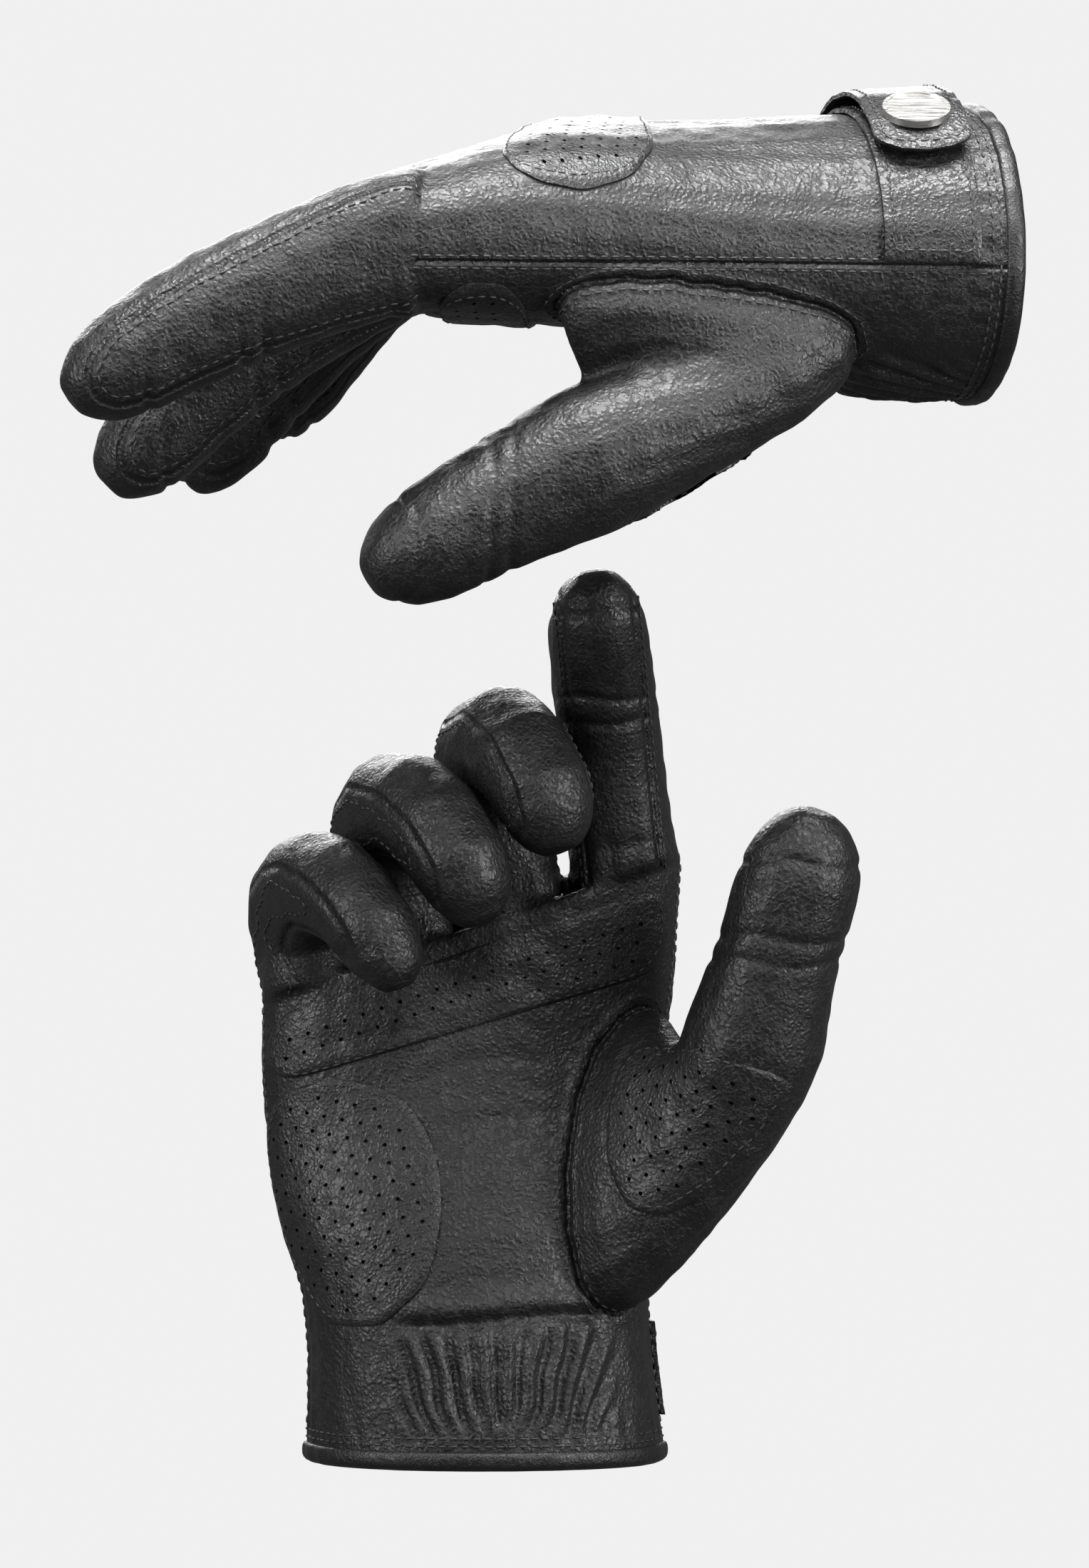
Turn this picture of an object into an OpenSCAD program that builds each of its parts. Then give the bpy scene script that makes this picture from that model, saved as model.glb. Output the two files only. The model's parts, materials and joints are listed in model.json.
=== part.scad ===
// Two leather driving gloves for right hands. The upper one lies on its side with its
// back up and its fingers towards -X, the lower one stands with its palm towards -Y.
// A glove is worked out in a hand frame and then placed: +X towards the thumb, +Y out
// of the back of the hand, +Z from the cuff edge to the fingers, in millimetres.

/* [Leather] */
// Thickness of the glove leather
skin_t = 1.2; // [0.8:0.1:1.6]
// Thickness of the sewn-on patches
patch_t = 1.0; // [0.6:0.1:1.4]
// Gap between a patch or strap and the leather under it
lay_gap = 0.6; // [0.5:0.1:0.9]
// Gap along a seam between two pieces
seam_gap = 0.3; // [0.2:0.1:0.6]

/* [Hand] */
// Distance from the cuff edge to the index finger's root
palm_l = 141; // [120:1:165]
// Width of the cuff at its edge
cuff_w = 83; // [74:1:98]
// Depth of the cuff at its edge
cuff_d = 66; // [56:1:78]
// Width of the wrist
wrist_w = 79; // [70:1:92]
// Depth of the wrist
wrist_d = 62; // [52:1:72]
// Distance from the cuff edge to the wrist's waist
wrist_z = 31; // [26:1:40]
// Depth of the hand at the heel of the palm
heel_d = 55; // [46:1:62]
// Depth of the hand at the knuckles
knuckle_d = 43; // [36:1:50]
// Depth of the hand at the finger roots
root_d = 34; // [30:1:40]
// How far the little finger's side of the finger roots lies below the index side
root_drop = 33; // [20:1:36]

/* [Fingers] */
// Width of the index finger
index_w = 24.6; // [21:0.2:29]
// Width of the middle finger
middle_w = 24.6; // [21:0.2:29]
// Width of the ring finger
ring_w = 23.6; // [20:0.2:28]
// Width of the little finger
little_w = 21.4; // [18:0.2:25]
// Length of the index finger from its root
index_l = 81; // [70:1:95]
// Length of the middle finger from its root
middle_l = 90; // [78:1:102]
// Length of the ring finger from its root
ring_l = 85; // [74:1:98]
// Length of the little finger from its root
little_l = 70; // [60:1:82]
// Gap between two finger roots
finger_gap = 0.8; // [0.6:0.1:1.6]
// Depth of a finger over its middle joint
finger_d = 28; // [24:0.5:33]

/* [Thumb] */
// Width of the thumb over its end joint
thumb_w = 28; // [24:0.5:33]
// Length of the thumb from the web to its tip
thumb_l = 57; // [48:1:66]
// Length of the hole in the palm that the thumb is set into
thumb_hole_l = 72; // [60:1:80]

/* [Patches] */
// Width of the finger bar patch along the hand
bar_w = 20; // [16:1:28]
// Width of the heel patch
heel_patch_w = 38; // [30:1:44]
// Length of the heel patch
heel_patch_l = 80; // [66:1:88]
// Width of the knuckle patch along the hand
knuckle_patch_w = 37; // [28:1:44]

/* [Strap and stud] */
// Width of the strap band and its tab
strap_w = 22; // [16:1:26]
// Distance from the cuff edge to the middle of the strap
strap_z = 21; // [18:1:26]
// Diameter of the press stud's cap
cap_d = 15.4; // [11:0.2:17]
// Height of the press stud's cap
cap_h = 1.7; // [1.2:0.1:2.4]
// Width of the binding on the cuff edge
binding_w = 3.6; // [3:0.2:5]

/* [Hidden] */
UPPER = 0;
LOWER = 1;
LEATHER = "#1c1c1d";
LEATHER_DARK = "#131314";
STEEL = "#c9c9c6";
ELASTIC = "#101010";

// Where each glove's hand frame sits, and its turns about X, Y and Z after it is laid
glove_at = [[113, -41, 280], [0, 0, 0]];
upper_turn = [8, 0, 12];
// Poses, one row a finger from index to little: splay to the thumb side, twist, bend at
// the root, at the middle joint and at the end joint, and stretch of the length
poses = [
    [
        [4, 0, 20, 5, 8, 1.08],
        [1, 0, 33, 8, 8, 1.06],
        [-2, 0, 40, 9, 8, 1.03],
        [-5, 0, 42, 14, 8, 1]
    ],
    [
        [-6, 0, 14, 22, 8, 1],
        [-15, 20, 4, 104, 58, 1],
        [-20, 24, 27, 96, 52, 1.04],
        [-20, 24, 60, 76, 44, 1.14]
    ]
];
// Centre of the thumb's section level with the web, then its lean to the thumb side, its
// lean to the palm and its bend
thumb_poses = [
    [[36, -45, 98], 4, 25, 5],
    [[62, -34, 99], 15, 12, 3]
];

function spow(v, e) = sign(v) * pow(abs(v), e);
function mix(a, b, t) = a * (1 - t) + b * t;
function ease(t) = let (c = min(max(t, 0), 1)) c * c * (3 - 2 * c);
function centre(ring) =
    [for (k = [0:2]) let (v = [for (p = ring) p[k]]) (v * [for (p = ring) 1]) / len(ring)];

// Column c of a table at key z, on a smooth curve through its rows
function slope_at(rows, c, i) =
    let (a = max(i - 1, 0), b = min(i + 1, len(rows) - 1))
    (rows[b][c] - rows[a][c]) / (rows[b][0] - rows[a][0]);
function curve_at(rows, c, z) =
    let (
        i = max([0, for (k = [0:len(rows) - 2]) if (rows[k][0] <= z) k]),
        w = rows[i + 1][0] - rows[i][0],
        t = (z - rows[i][0]) / w,
        m0 = slope_at(rows, c, i) * w,
        m1 = slope_at(rows, c, i + 1) * w
    )
    rows[i][c] * (2 * t * t * t - 3 * t * t + 1) + m0 * (t * t * t - 2 * t * t + t)
    + rows[i + 1][c] * (3 * t * t - 2 * t * t * t) + m1 * (t * t * t - t * t);

// The hand, from the cuff edge to the finger roots
finger_ws = [index_w, middle_w, ring_w, little_w];
finger_ls = [index_l, middle_l, ring_l, little_l];
palm_w = index_w + middle_w + ring_w + little_w + 3 * finger_gap;
thumb_side = 44.5;
root_y = 3;
hand_rows = [
    // distance from the cuff edge, centre X, width, centre Y, depth, squareness
    [0, 0, cuff_w, 0, cuff_d, 2.1],
    [wrist_z, -2, wrist_w, 0, wrist_d, 2.1],
    [mix(wrist_z, palm_l, 0.28), -4.5, mix(wrist_w, palm_w, 0.4), 1.5, heel_d, 2.2],
    [mix(wrist_z, palm_l, 0.55), -5, mix(wrist_w, palm_w, 0.72), 4.5, mix(heel_d, knuckle_d, 0.7), 2.4],
    [mix(wrist_z, palm_l, 0.78), thumb_side - palm_w / 2 - 0.4, palm_w - 0.5, 5.5, knuckle_d, 2.7],
    [palm_l, thumb_side - palm_w / 2, palm_w, root_y, root_d, 3.2]
];
function root_fall(x, z) = (x - thumb_side) * root_drop / palm_w * ease((z - wrist_z) / (palm_l - wrist_z));
// Point of the hand's skin at distance z, at angle a from the thumb side towards the back
function hand_point(z, a, out = 0) =
    let (
        e = 2 / curve_at(hand_rows, 5, z),
        x = curve_at(hand_rows, 1, z) + (curve_at(hand_rows, 2, z) / 2 + out) * spow(cos(a), e),
        y = curve_at(hand_rows, 3, z) + (curve_at(hand_rows, 4, z) / 2 + out) * spow(sin(a), e)
    )
    [x, y, z + root_fall(x, z)];
function hand_skin(zs, as, out) = [for (z = zs) [for (a = as) hand_point(z, a, out)]];
function spread(a, b, n) = [for (i = [0:n]) mix(a, b, i / n)];

// From the hand frame to the part's own frame: the upper glove lies on its side
function turned(g, p) =
    g == LOWER ? p :
    let (
        t = upper_turn,
        q = [-p[2], -p[0] * cos(t[0]) - p[1] * sin(t[0]), -p[0] * sin(t[0]) + p[1] * cos(t[0])],
        r = [q[0] * cos(t[1]) + q[2] * sin(t[1]), q[1], -q[0] * sin(t[1]) + q[2] * cos(t[1])]
    )
    [r[0] * cos(t[2]) - r[1] * sin(t[2]), r[0] * sin(t[2]) + r[1] * cos(t[2]), r[2]];
function placed(g, p) = glove_at[g] + turned(g, p);

// A sheet of leather between two grids of points, each row running from the thumb side
// round by the back. A wrapped sheet is a tube, a shut one ends in a rounded tip, and
// hole leaves out the cells from row hole[0] to hole[1] and column hole[2] to hole[3].
module leather(g, outer, inner, wrap = false, shut = false, hole = [0, 0, 0, 0]) {
    rows = len(outer);
    cols = len(outer[0]);
    spans = wrap ? cols : cols - 1;
    n = rows * cols;
    function at(i, j, side) = side * n + i * cols + (j + cols) % cols;
    function is_skin(i, j) =
        let (k = wrap ? (j + cols) % cols : j)
        i >= 0 && i < rows - 1 && k >= 0 && k < spans
        && !(i >= hole[0] && i < hole[1] && k >= hole[2] && k < hole[3]);
    function quad(a, b, c, d) = [[a, b, c], [a, c, d]];
    sides = [
        for (i = [0:rows - 2], j = [0:spans - 1])
            if (is_skin(i, j))
                each concat(
                    quad(at(i, j, 0), at(i + 1, j, 0), at(i + 1, j + 1, 0), at(i, j + 1, 0)),
                    quad(at(i, j, 1), at(i, j + 1, 1), at(i + 1, j + 1, 1), at(i + 1, j, 1)),
                    is_skin(i - 1, j) ? [] : quad(at(i, j, 0), at(i, j + 1, 0), at(i, j + 1, 1), at(i, j, 1)),
                    is_skin(i + 1, j) || (shut && i == rows - 2) ? []
                        : quad(at(i + 1, j + 1, 0), at(i + 1, j, 0), at(i + 1, j, 1), at(i + 1, j + 1, 1)),
                    is_skin(i, j - 1) ? [] : quad(at(i + 1, j, 0), at(i, j, 0), at(i, j, 1), at(i + 1, j, 1)),
                    is_skin(i, j + 1) ? []
                        : quad(at(i, j + 1, 0), at(i + 1, j + 1, 0), at(i + 1, j + 1, 1), at(i, j + 1, 1))
                )
    ];
    tips = !shut ? [] : [
        for (j = [0:spans - 1])
            each [
                [at(rows - 1, j + 1, 0), at(rows - 1, j, 0), 2 * n],
                [at(rows - 1, j, 1), at(rows - 1, j + 1, 1), 2 * n + 1]
            ]
    ];
    flat_points = concat([for (r = outer) each r], [for (r = inner) each r],
        shut ? [centre(outer[rows - 1]), centre(inner[rows - 1])] : []);
    polyhedron([for (p = flat_points) placed(g, p)], concat(sides, tips), convexity = 8);
}

// Hand panels
back_angles = spread(0.4, 179.6, 12);
thumb_hole = [-56, -18];
palm_angles = concat(spread(-179.6, thumb_hole[0], 10), [-44, -31], spread(thumb_hole[1], -0.4, 2));
thumb_hole_z = 72;
hole_z = [thumb_hole_z - thumb_hole_l / 2 + 4, thumb_hole_z + thumb_hole_l / 2 - 4];
hem_z = 1.6;
palm_zs = concat([hem_z, 14, 24], spread(hole_z[0], hole_z[1], 4), [114, 127, palm_l]);
module back_panel(g) {
    color(LEATHER)
        leather(g, hand_skin(palm_zs, back_angles, 0), hand_skin(palm_zs, back_angles, -skin_t));
}
module palm_panel(g) {
    color(LEATHER)
        leather(g, hand_skin(palm_zs, palm_angles, 0), hand_skin(palm_zs, palm_angles, -skin_t),
            hole = [3, 7, 10, 13]);
}

// Fingers: a bent path in the finger's own plane, then its twist and splay
sides_n = 16;
ring_angles = [for (k = [0:sides_n - 1]) k * 360 / sides_n];
root_l = 14;
curled_root_l = 21;
function fold_l(g, f) = poses[g][f][3] > 45 ? curled_root_l : root_l;
function finger_l(g, f) = finger_ls[f] * poses[g][f][5];
// Bends along the finger: length of each stretch and how far it turns
function stretches(g, f) =
    let (p = poses[g][f], l = finger_l(g, f), turn = p[3] > 45 ? 34 : 24, mid = l * 0.39, tip_turn = 22)
    [
        [fold_l(g, f), p[2]],
        [max(mid - turn / 2 - fold_l(g, f), 0.5), 0],
        [turn, p[3]],
        [max(l * 0.68 - tip_turn / 2 - mid - turn / 2, 0.5), 0],
        [tip_turn, p[4]],
        [l, 0]
    ];
function bend_step(s, turn, from) =
    abs(turn) < 0.01 ? [-s * sin(from), s * cos(from)] :
    let (r = s / (turn * PI / 180))
    [-r * (cos(from) - cos(from + turn)), r * (sin(from + turn) - sin(from))];
// Y, Z and angle of the path at distance s
function path_at(parts, s, i = 0, at = [0, 0], from = 0) =
    s <= parts[i][0] || i == len(parts) - 1
    ? let (turn = parts[i][1] * min(s / parts[i][0], 1), d = bend_step(s, turn, from))
        [at[0] + d[0], at[1] + d[1], from + turn]
    : path_at(parts, s - parts[i][0], i + 1, at + bend_step(parts[i][0], parts[i][1], from),
        from + parts[i][1]);
function finger_root(f) =
    let (
        x = thumb_side - finger_ws[f] / 2
            - (f == 0 ? 0 : [for (k = [0:f - 1]) finger_ws[k] + finger_gap] * [for (k = [0:f - 1]) 1])
    )
    [x, root_y, palm_l + seam_gap + root_fall(x, palm_l)];
function splayed(p, splay, twist) =
    let (q = [p[0] * cos(twist) - p[1] * sin(twist), p[0] * sin(twist) + p[1] * cos(twist), p[2]])
    [q[0] * cos(splay) + q[2] * sin(splay), q[1], -q[0] * sin(splay) + q[2] * cos(splay)];
// Half width and half depth of a finger at distance s, rounded off at the tip
tip_round = 15;
function tip_size(s, l) = let (u = (s - l + tip_round) / tip_round) u <= 0 ? 1 : sqrt(max(1 - u * u, 0));
function finger_half(g, f, s, out) =
    let (
        l = finger_l(g, f), w = finger_ws[f], d = finger_d * w / middle_w,
        shape = [
            [0, w / 2, root_d / 2 - 0.6], [l * 0.2, w * 0.475, mix(root_d, d, 0.6) / 2],
            [l * 0.4, w * 0.48, d / 2], [l * 0.7, w * 0.46, d * 0.45], [l, w * 0.42, d * 0.36]
        ],
        k = tip_size(s, l + min(out, 0))
    )
    [max((curve_at(shape, 1, s) + out) * k, 0.3), max((curve_at(shape, 2, s) + out) * k, 0.3)];
function finger_point(g, f, s, a, out) =
    let (
        half = finger_half(g, f, s, out), at = path_at(stretches(g, f), s), p = poses[g][f],
        e = mix(0.72, 0.92, ease(s / 40)),
        x = half[0] * spow(cos(a), e),
        y = half[1] * spow(sin(a), e),
        loose = splayed([x, at[0] + y * cos(at[2]), at[1] + y * sin(at[2])], p[0], p[1]),
        mid = splayed([0, at[0], at[1]], p[0], p[1]),
        root = finger_root(f),
        level = [x, y, root_fall(root[0] + x, palm_l) - root_fall(root[0], palm_l)],
        t = ease(s / fold_l(g, f))
    )
    root + mix(level + mid, loose, t);
function finger_skin(g, f, ss, out) = [for (s = ss) [for (a = ring_angles) finger_point(g, f, s, a, out)]];
function tip_stops(from, l) =
    let (bow = l - tip_round)
    concat(spread(from, bow, 5), [for (u = [0.45, 0.75, 0.93]) bow + tip_round * u]);
module finger(g, f) {
    from = fold_l(g, f) + seam_gap;
    color(LEATHER)
        leather(g, finger_skin(g, f, tip_stops(from, finger_l(g, f)), 0),
            finger_skin(g, f, tip_stops(from, finger_l(g, f) - skin_t), -skin_t), wrap = true, shut = true);
}
module finger_fold(g, f) {
    ss = spread(0, fold_l(g, f), 3);
    color(LEATHER_DARK)
        leather(g, finger_skin(g, f, ss, 0), finger_skin(g, f, ss, -skin_t), wrap = true);
}

// Thumb: from its hole in the palm to its section level with the web, then to its tip
function thumb_seam(a) =
    hand_point(thumb_hole_z - thumb_hole_l / 2 * spow(cos(a), 0.8), mix(thumb_hole[0], thumb_hole[1], 0.5)
        + (thumb_hole[1] - thumb_hole[0]) * 0.58 * spow(sin(a), 0.8), lay_gap);
function thumb_turned(p, tp) =
    let (r = [p[0], p[1] * cos(tp[2]) - p[2] * sin(tp[2]), p[1] * sin(tp[2]) + p[2] * cos(tp[2])])
    [r[0] * cos(tp[1]) + r[2] * sin(tp[1]), r[1], -r[0] * sin(tp[1]) + r[2] * cos(tp[1])];
function thumb_half(s, out) =
    let (
        shape = [
            [0, thumb_w * 0.57, thumb_w * 0.58], [thumb_l * 0.35, thumb_w * 0.5, thumb_w * 0.52],
            [thumb_l * 0.65, thumb_w * 0.49, thumb_w * 0.47], [thumb_l, thumb_w * 0.42, thumb_w * 0.36]
        ],
        k = tip_size(s, thumb_l + min(out, 0))
    )
    [max((curve_at(shape, 1, s) + out) * k, 0.3), max((curve_at(shape, 2, s) + out) * k, 0.3)];
function thumb_top(g, s, a, out) =
    let (
        half = thumb_half(s, out), tp = thumb_poses[g],
        at = path_at([[thumb_l * 0.25, 0], [thumb_l * 0.3, tp[3]], [thumb_l, 0]], s)
    )
    tp[0] + thumb_turned([half[0] * spow(cos(a), 0.9), at[0] + half[1] * spow(sin(a), 0.9) * cos(at[2]),
        at[1] + half[1] * spow(sin(a), 0.9) * sin(at[2])], tp);
// The ball of the thumb, t from 0 at the seam to 1 level with the web
thumb_away = [26, -46, -6];
thumb_climb = 48;
function thumb_ball(g, t, a) =
    let (up = thumb_turned([0, 0, thumb_climb], thumb_poses[g]))
    thumb_seam(a) * (2 * t * t * t - 3 * t * t + 1) + thumb_away * (t * t * t - 2 * t * t + t)
        + thumb_top(g, 0, a, 0) * (3 * t * t - 2 * t * t * t) + up * (t * t * t - t * t);
function thumb_ring(g, t) = [for (a = ring_angles) thumb_ball(g, t, a)];
function grown(ring, out) =
    let (c = centre(ring))
    [for (p = ring) p + (p - c) * out / norm(p - c)];
thumb_fold_t = 0.16;
function thumb_skin(g, out) =
    concat(
        [for (t = spread(thumb_fold_t + 0.012, 1, 5)) grown(thumb_ring(g, t), out)],
        [for (s = tip_stops(thumb_l * 0.2, thumb_l + min(out, 0)))
            [for (a = ring_angles) thumb_top(g, s, a, out)]]
    );
module thumb(g) {
    color(LEATHER)
        leather(g, thumb_skin(g, 0), thumb_skin(g, -skin_t), wrap = true, shut = true);
}
module thumb_root(g) {
    ts = spread(0, thumb_fold_t, 2);
    color(LEATHER_DARK)
        leather(g, [for (t = ts) thumb_ring(g, t)], [for (t = ts) grown(thumb_ring(g, t), -skin_t)],
            wrap = true);
}

// Patches, laid on the leather: rows of distance, first angle and last angle
patch_spans = 11;
function patch_skin(rows, out) =
    [for (r = rows) [for (a = spread(r[1], r[2], patch_spans)) hand_point(r[0], a, out)]];
module patch(g, rows) {
    color(LEATHER)
        leather(g, patch_skin(rows, lay_gap + patch_t), patch_skin(rows, lay_gap));
}
// A long rounded patch from angle a0 to a1, w wide about the distance z
function round_rows(z, w, a0, a1, ends) =
    [for (k = [-1:0.25:1]) let (bow = ends * (1 - sqrt(max(1 - k * k, 0))))
        [z + k * w / 2, a0 + bow, a1 - bow]];
// Distances from the last row of the palm and from the hem, and the angles each patch spans
bar_drop = 5;
knuckle_drop = 18;
heel_rise = 31;
bar_as = [-158, -24];
knuckle_as = [29, 151];
heel_from = -174;
heel_turn = 2.05; // degrees of turn to a millimetre of width
module finger_bar_patch(g) {
    patch(g, round_rows(palm_l - bar_drop - bar_w / 2, bar_w, bar_as[0], bar_as[1], 16));
}
module heel_patch(g) {
    patch(g, round_rows(hem_z + heel_rise + heel_patch_l / 2, heel_patch_l, heel_from,
        heel_from + heel_patch_w * heel_turn, 26));
}
module knuckle_patch(g) {
    patch(g, round_rows(palm_l - knuckle_drop - knuckle_patch_w / 2, knuckle_patch_w, knuckle_as[0],
        knuckle_as[1], 24));
}
ball_gap = lay_gap + 0.8;
thumb_patch_spans = 7;
module thumb_patch(g) {
    // t along the ball of the thumb, first and last angle round it
    rows = [[0.23, 226, 268], [0.3, 213, 286], [0.4, 205, 300], [0.56, 200, 309], [0.75, 200, 311],
        [0.88, 208, 303], [0.96, 220, 290]];
    function face(out) = [for (r = rows) let (c = centre(thumb_ring(g, r[0])))
        [for (a = spread(r[1], r[2], thumb_patch_spans)) let (p = thumb_ball(g, r[0], a))
            p + (p - c) * out / norm(p - c)]];
    color(LEATHER)
        leather(g, face(ball_gap + patch_t), face(ball_gap));
}

// Wrist strap on the back of the cuff, with a press stud
band_out = 1;
stud_a = 62;
tab_from = 43;
tab_hinge = 122;
stud_h = 2.5;
tab_bow = 9; // how far round the tab's end is rounded
tab_out = band_out + skin_t + stud_h;
module strip(g, as, out0, out1, round_end = false) {
    // rows along the strip's width, so that its outside faces out
    ks = [-1, -0.8, -0.5, 0, 0.5, 0.8, 1];
    function face(out) = [for (k = ks) let (bow = round_end ? tab_bow * (1 - sqrt(1 - k * k)) : 0)
        [for (a = as) hand_point(strap_z + k * strap_w / 2, max(a, as[0] + bow), out)]];
    leather(g, face(out1), face(out0));
}
module strap_band(g) {
    color(LEATHER)
        strip(g, spread(2, 118, 12), band_out, band_out + skin_t);
}
module strap_tab(g) {
    color(LEATHER)
        strip(g, concat([tab_from, tab_from + 4, tab_from + 9.2], spread(tab_from + 16, tab_hinge - 0.6, 6)),
            tab_out, tab_out + skin_t, round_end = true);
}
module tab_end(g) {
    color(LEATHER)
        strip(g, spread(tab_hinge + 0.6, 158, 3), tab_out, tab_out + skin_t);
}
cap_rim = 0.8;
cap_dish = 0.3;
shank_d = 3;
socket_d = 10;
stud_d = 6;
post_d = 2.6;
foot_t = 0.3;
// Lays children on the skin at the stud, +Z outwards
module at_stud(g, out) {
    foot = hand_point(strap_z, stud_a, out);
    round_it = hand_point(strap_z, stud_a + 1, out) - hand_point(strap_z, stud_a - 1, out);
    along = hand_point(strap_z + 1, stud_a, out) - hand_point(strap_z - 1, stud_a, out);
    n = cross(round_it, along);
    d = turned(g, n / norm(n));
    translate(placed(g, foot)) rotate([0, acos(d[2]), atan2(d[1], d[0])]) children();
}
module snap_cap(g) {
    color(STEEL)
        at_stud(g, tab_out + skin_t + 0.2) {
            difference() {
                cylinder(d = cap_d, h = cap_h, $fn = 48);
                translate([0, 0, cap_h - cap_dish]) cylinder(d = cap_d - 2 * cap_rim, h = 1, $fn = 48);
            }
            translate([0, 0, -skin_t - 0.5]) cylinder(d = shank_d, h = skin_t + 0.8, $fn = 24);
        }
}
module snap_socket(g) {
    color(STEEL)
        at_stud(g, band_out + skin_t + 0.65)
            difference() {
                cylinder(d = socket_d, h = 1.15, $fn = 36);
                translate([0, 0, -1]) cylinder(d = stud_d + 0.6, h = 1.9, $fn = 36);
                translate([0, 0, -1]) cylinder(d = shank_d + 0.4, h = 4, $fn = 36);
            }
}
module snap_stud(g) {
    color(STEEL)
        at_stud(g, band_out + skin_t + 0.2) {
            cylinder(d = stud_d + 3, h = foot_t, $fn = 36);
            cylinder(d = stud_d, h = 1.2, $fn = 36);
        }
}
module snap_post(g) {
    color(STEEL)
        at_stud(g, band_out - 0.5) {
            cylinder(d = stud_d, h = foot_t, $fn = 36);
            cylinder(d = post_d, h = skin_t + 0.85, $fn = 24);
        }
}

elastic_w = 10;
elastic_as = [-128, -52];
module wrist_elastic(g) {
    zs = [wrist_z - elastic_w / 2, wrist_z, wrist_z + elastic_w / 2];
    as = spread(elastic_as[0], elastic_as[1], 8);
    color(ELASTIC)
        leather(g, hand_skin(zs, as, -skin_t - 0.4), hand_skin(zs, as, -skin_t - 1.2));
}
module cuff_binding(g) {
    // section of the rolled binding: distance from the cuff edge and stand-off
    lip = 0.9;
    outer = [[binding_w, 0.25], [binding_w, 0.25 + lip], [0.6, 0.5 + lip], [-0.6, 0.2],
        [-0.6, -skin_t - 0.2]];
    inner = [[0.6, -skin_t - 0.5 - lip], [binding_w, -skin_t - 0.25 - lip], [binding_w, -skin_t - 0.25],
        [0.7, -skin_t - 0.3], [0.7, 0.3]];
    section = concat(outer, inner);
    turns = 32;
    as = [for (k = [0:turns - 1]) k * 360 / turns];
    n = len(section);
    points = [for (a = as) each [for (q = section) placed(g, hand_point(q[0], a, q[1]))]];
    faces = [for (i = [0:turns - 1], k = [0:n - 1])
        let (a = i * n + k, b = i * n + (k + 1) % n, next = ((i + 1) % turns) * n,
            c = next + (k + 1) % n, d = next + k)
        each [[a, c, b], [a, d, c]]];
    color(LEATHER_DARK)
        polyhedron(points, faces, convexity = 8);
}

back_panel(UPPER);  // upper_back_panel
palm_panel(UPPER);  // upper_palm_panel
thumb(UPPER);  // upper_thumb
thumb_root(UPPER);  // upper_thumb_root
finger(UPPER, 0);  // upper_index_finger
finger(UPPER, 1);  // upper_middle_finger
finger(UPPER, 2);  // upper_ring_finger
finger(UPPER, 3);  // upper_little_finger
finger_fold(UPPER, 0);  // upper_index_root
finger_fold(UPPER, 1);  // upper_middle_root
finger_fold(UPPER, 2);  // upper_ring_root
finger_fold(UPPER, 3);  // upper_little_root
knuckle_patch(UPPER);  // upper_knuckle_patch
finger_bar_patch(UPPER);  // upper_finger_bar_patch
heel_patch(UPPER);  // upper_heel_patch
thumb_patch(UPPER);  // upper_thumb_patch
strap_band(UPPER);  // upper_strap_band
strap_tab(UPPER);  // upper_strap_tab
tab_end(UPPER);  // upper_tab_end
snap_cap(UPPER);  // upper_snap_cap
snap_socket(UPPER);  // upper_snap_socket
snap_stud(UPPER);  // upper_snap_stud
snap_post(UPPER);  // upper_snap_post
wrist_elastic(UPPER);  // upper_wrist_elastic
cuff_binding(UPPER);  // upper_cuff_binding
back_panel(LOWER);  // lower_back_panel
palm_panel(LOWER);  // lower_palm_panel
thumb(LOWER);  // lower_thumb
thumb_root(LOWER);  // lower_thumb_root
finger(LOWER, 0);  // lower_index_finger
finger(LOWER, 1);  // lower_middle_finger
finger(LOWER, 2);  // lower_ring_finger
finger(LOWER, 3);  // lower_little_finger
finger_fold(LOWER, 0);  // lower_index_root
finger_fold(LOWER, 1);  // lower_middle_root
finger_fold(LOWER, 2);  // lower_ring_root
finger_fold(LOWER, 3);  // lower_little_root
knuckle_patch(LOWER);  // lower_knuckle_patch
finger_bar_patch(LOWER);  // lower_finger_bar_patch
heel_patch(LOWER);  // lower_heel_patch
thumb_patch(LOWER);  // lower_thumb_patch
strap_band(LOWER);  // lower_strap_band
strap_tab(LOWER);  // lower_strap_tab
tab_end(LOWER);  // lower_tab_end
snap_cap(LOWER);  // lower_snap_cap
snap_socket(LOWER);  // lower_snap_socket
snap_stud(LOWER);  // lower_snap_stud
snap_post(LOWER);  // lower_snap_post
wrist_elastic(LOWER);  // lower_wrist_elastic
cuff_binding(LOWER);  // lower_cuff_binding
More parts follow.
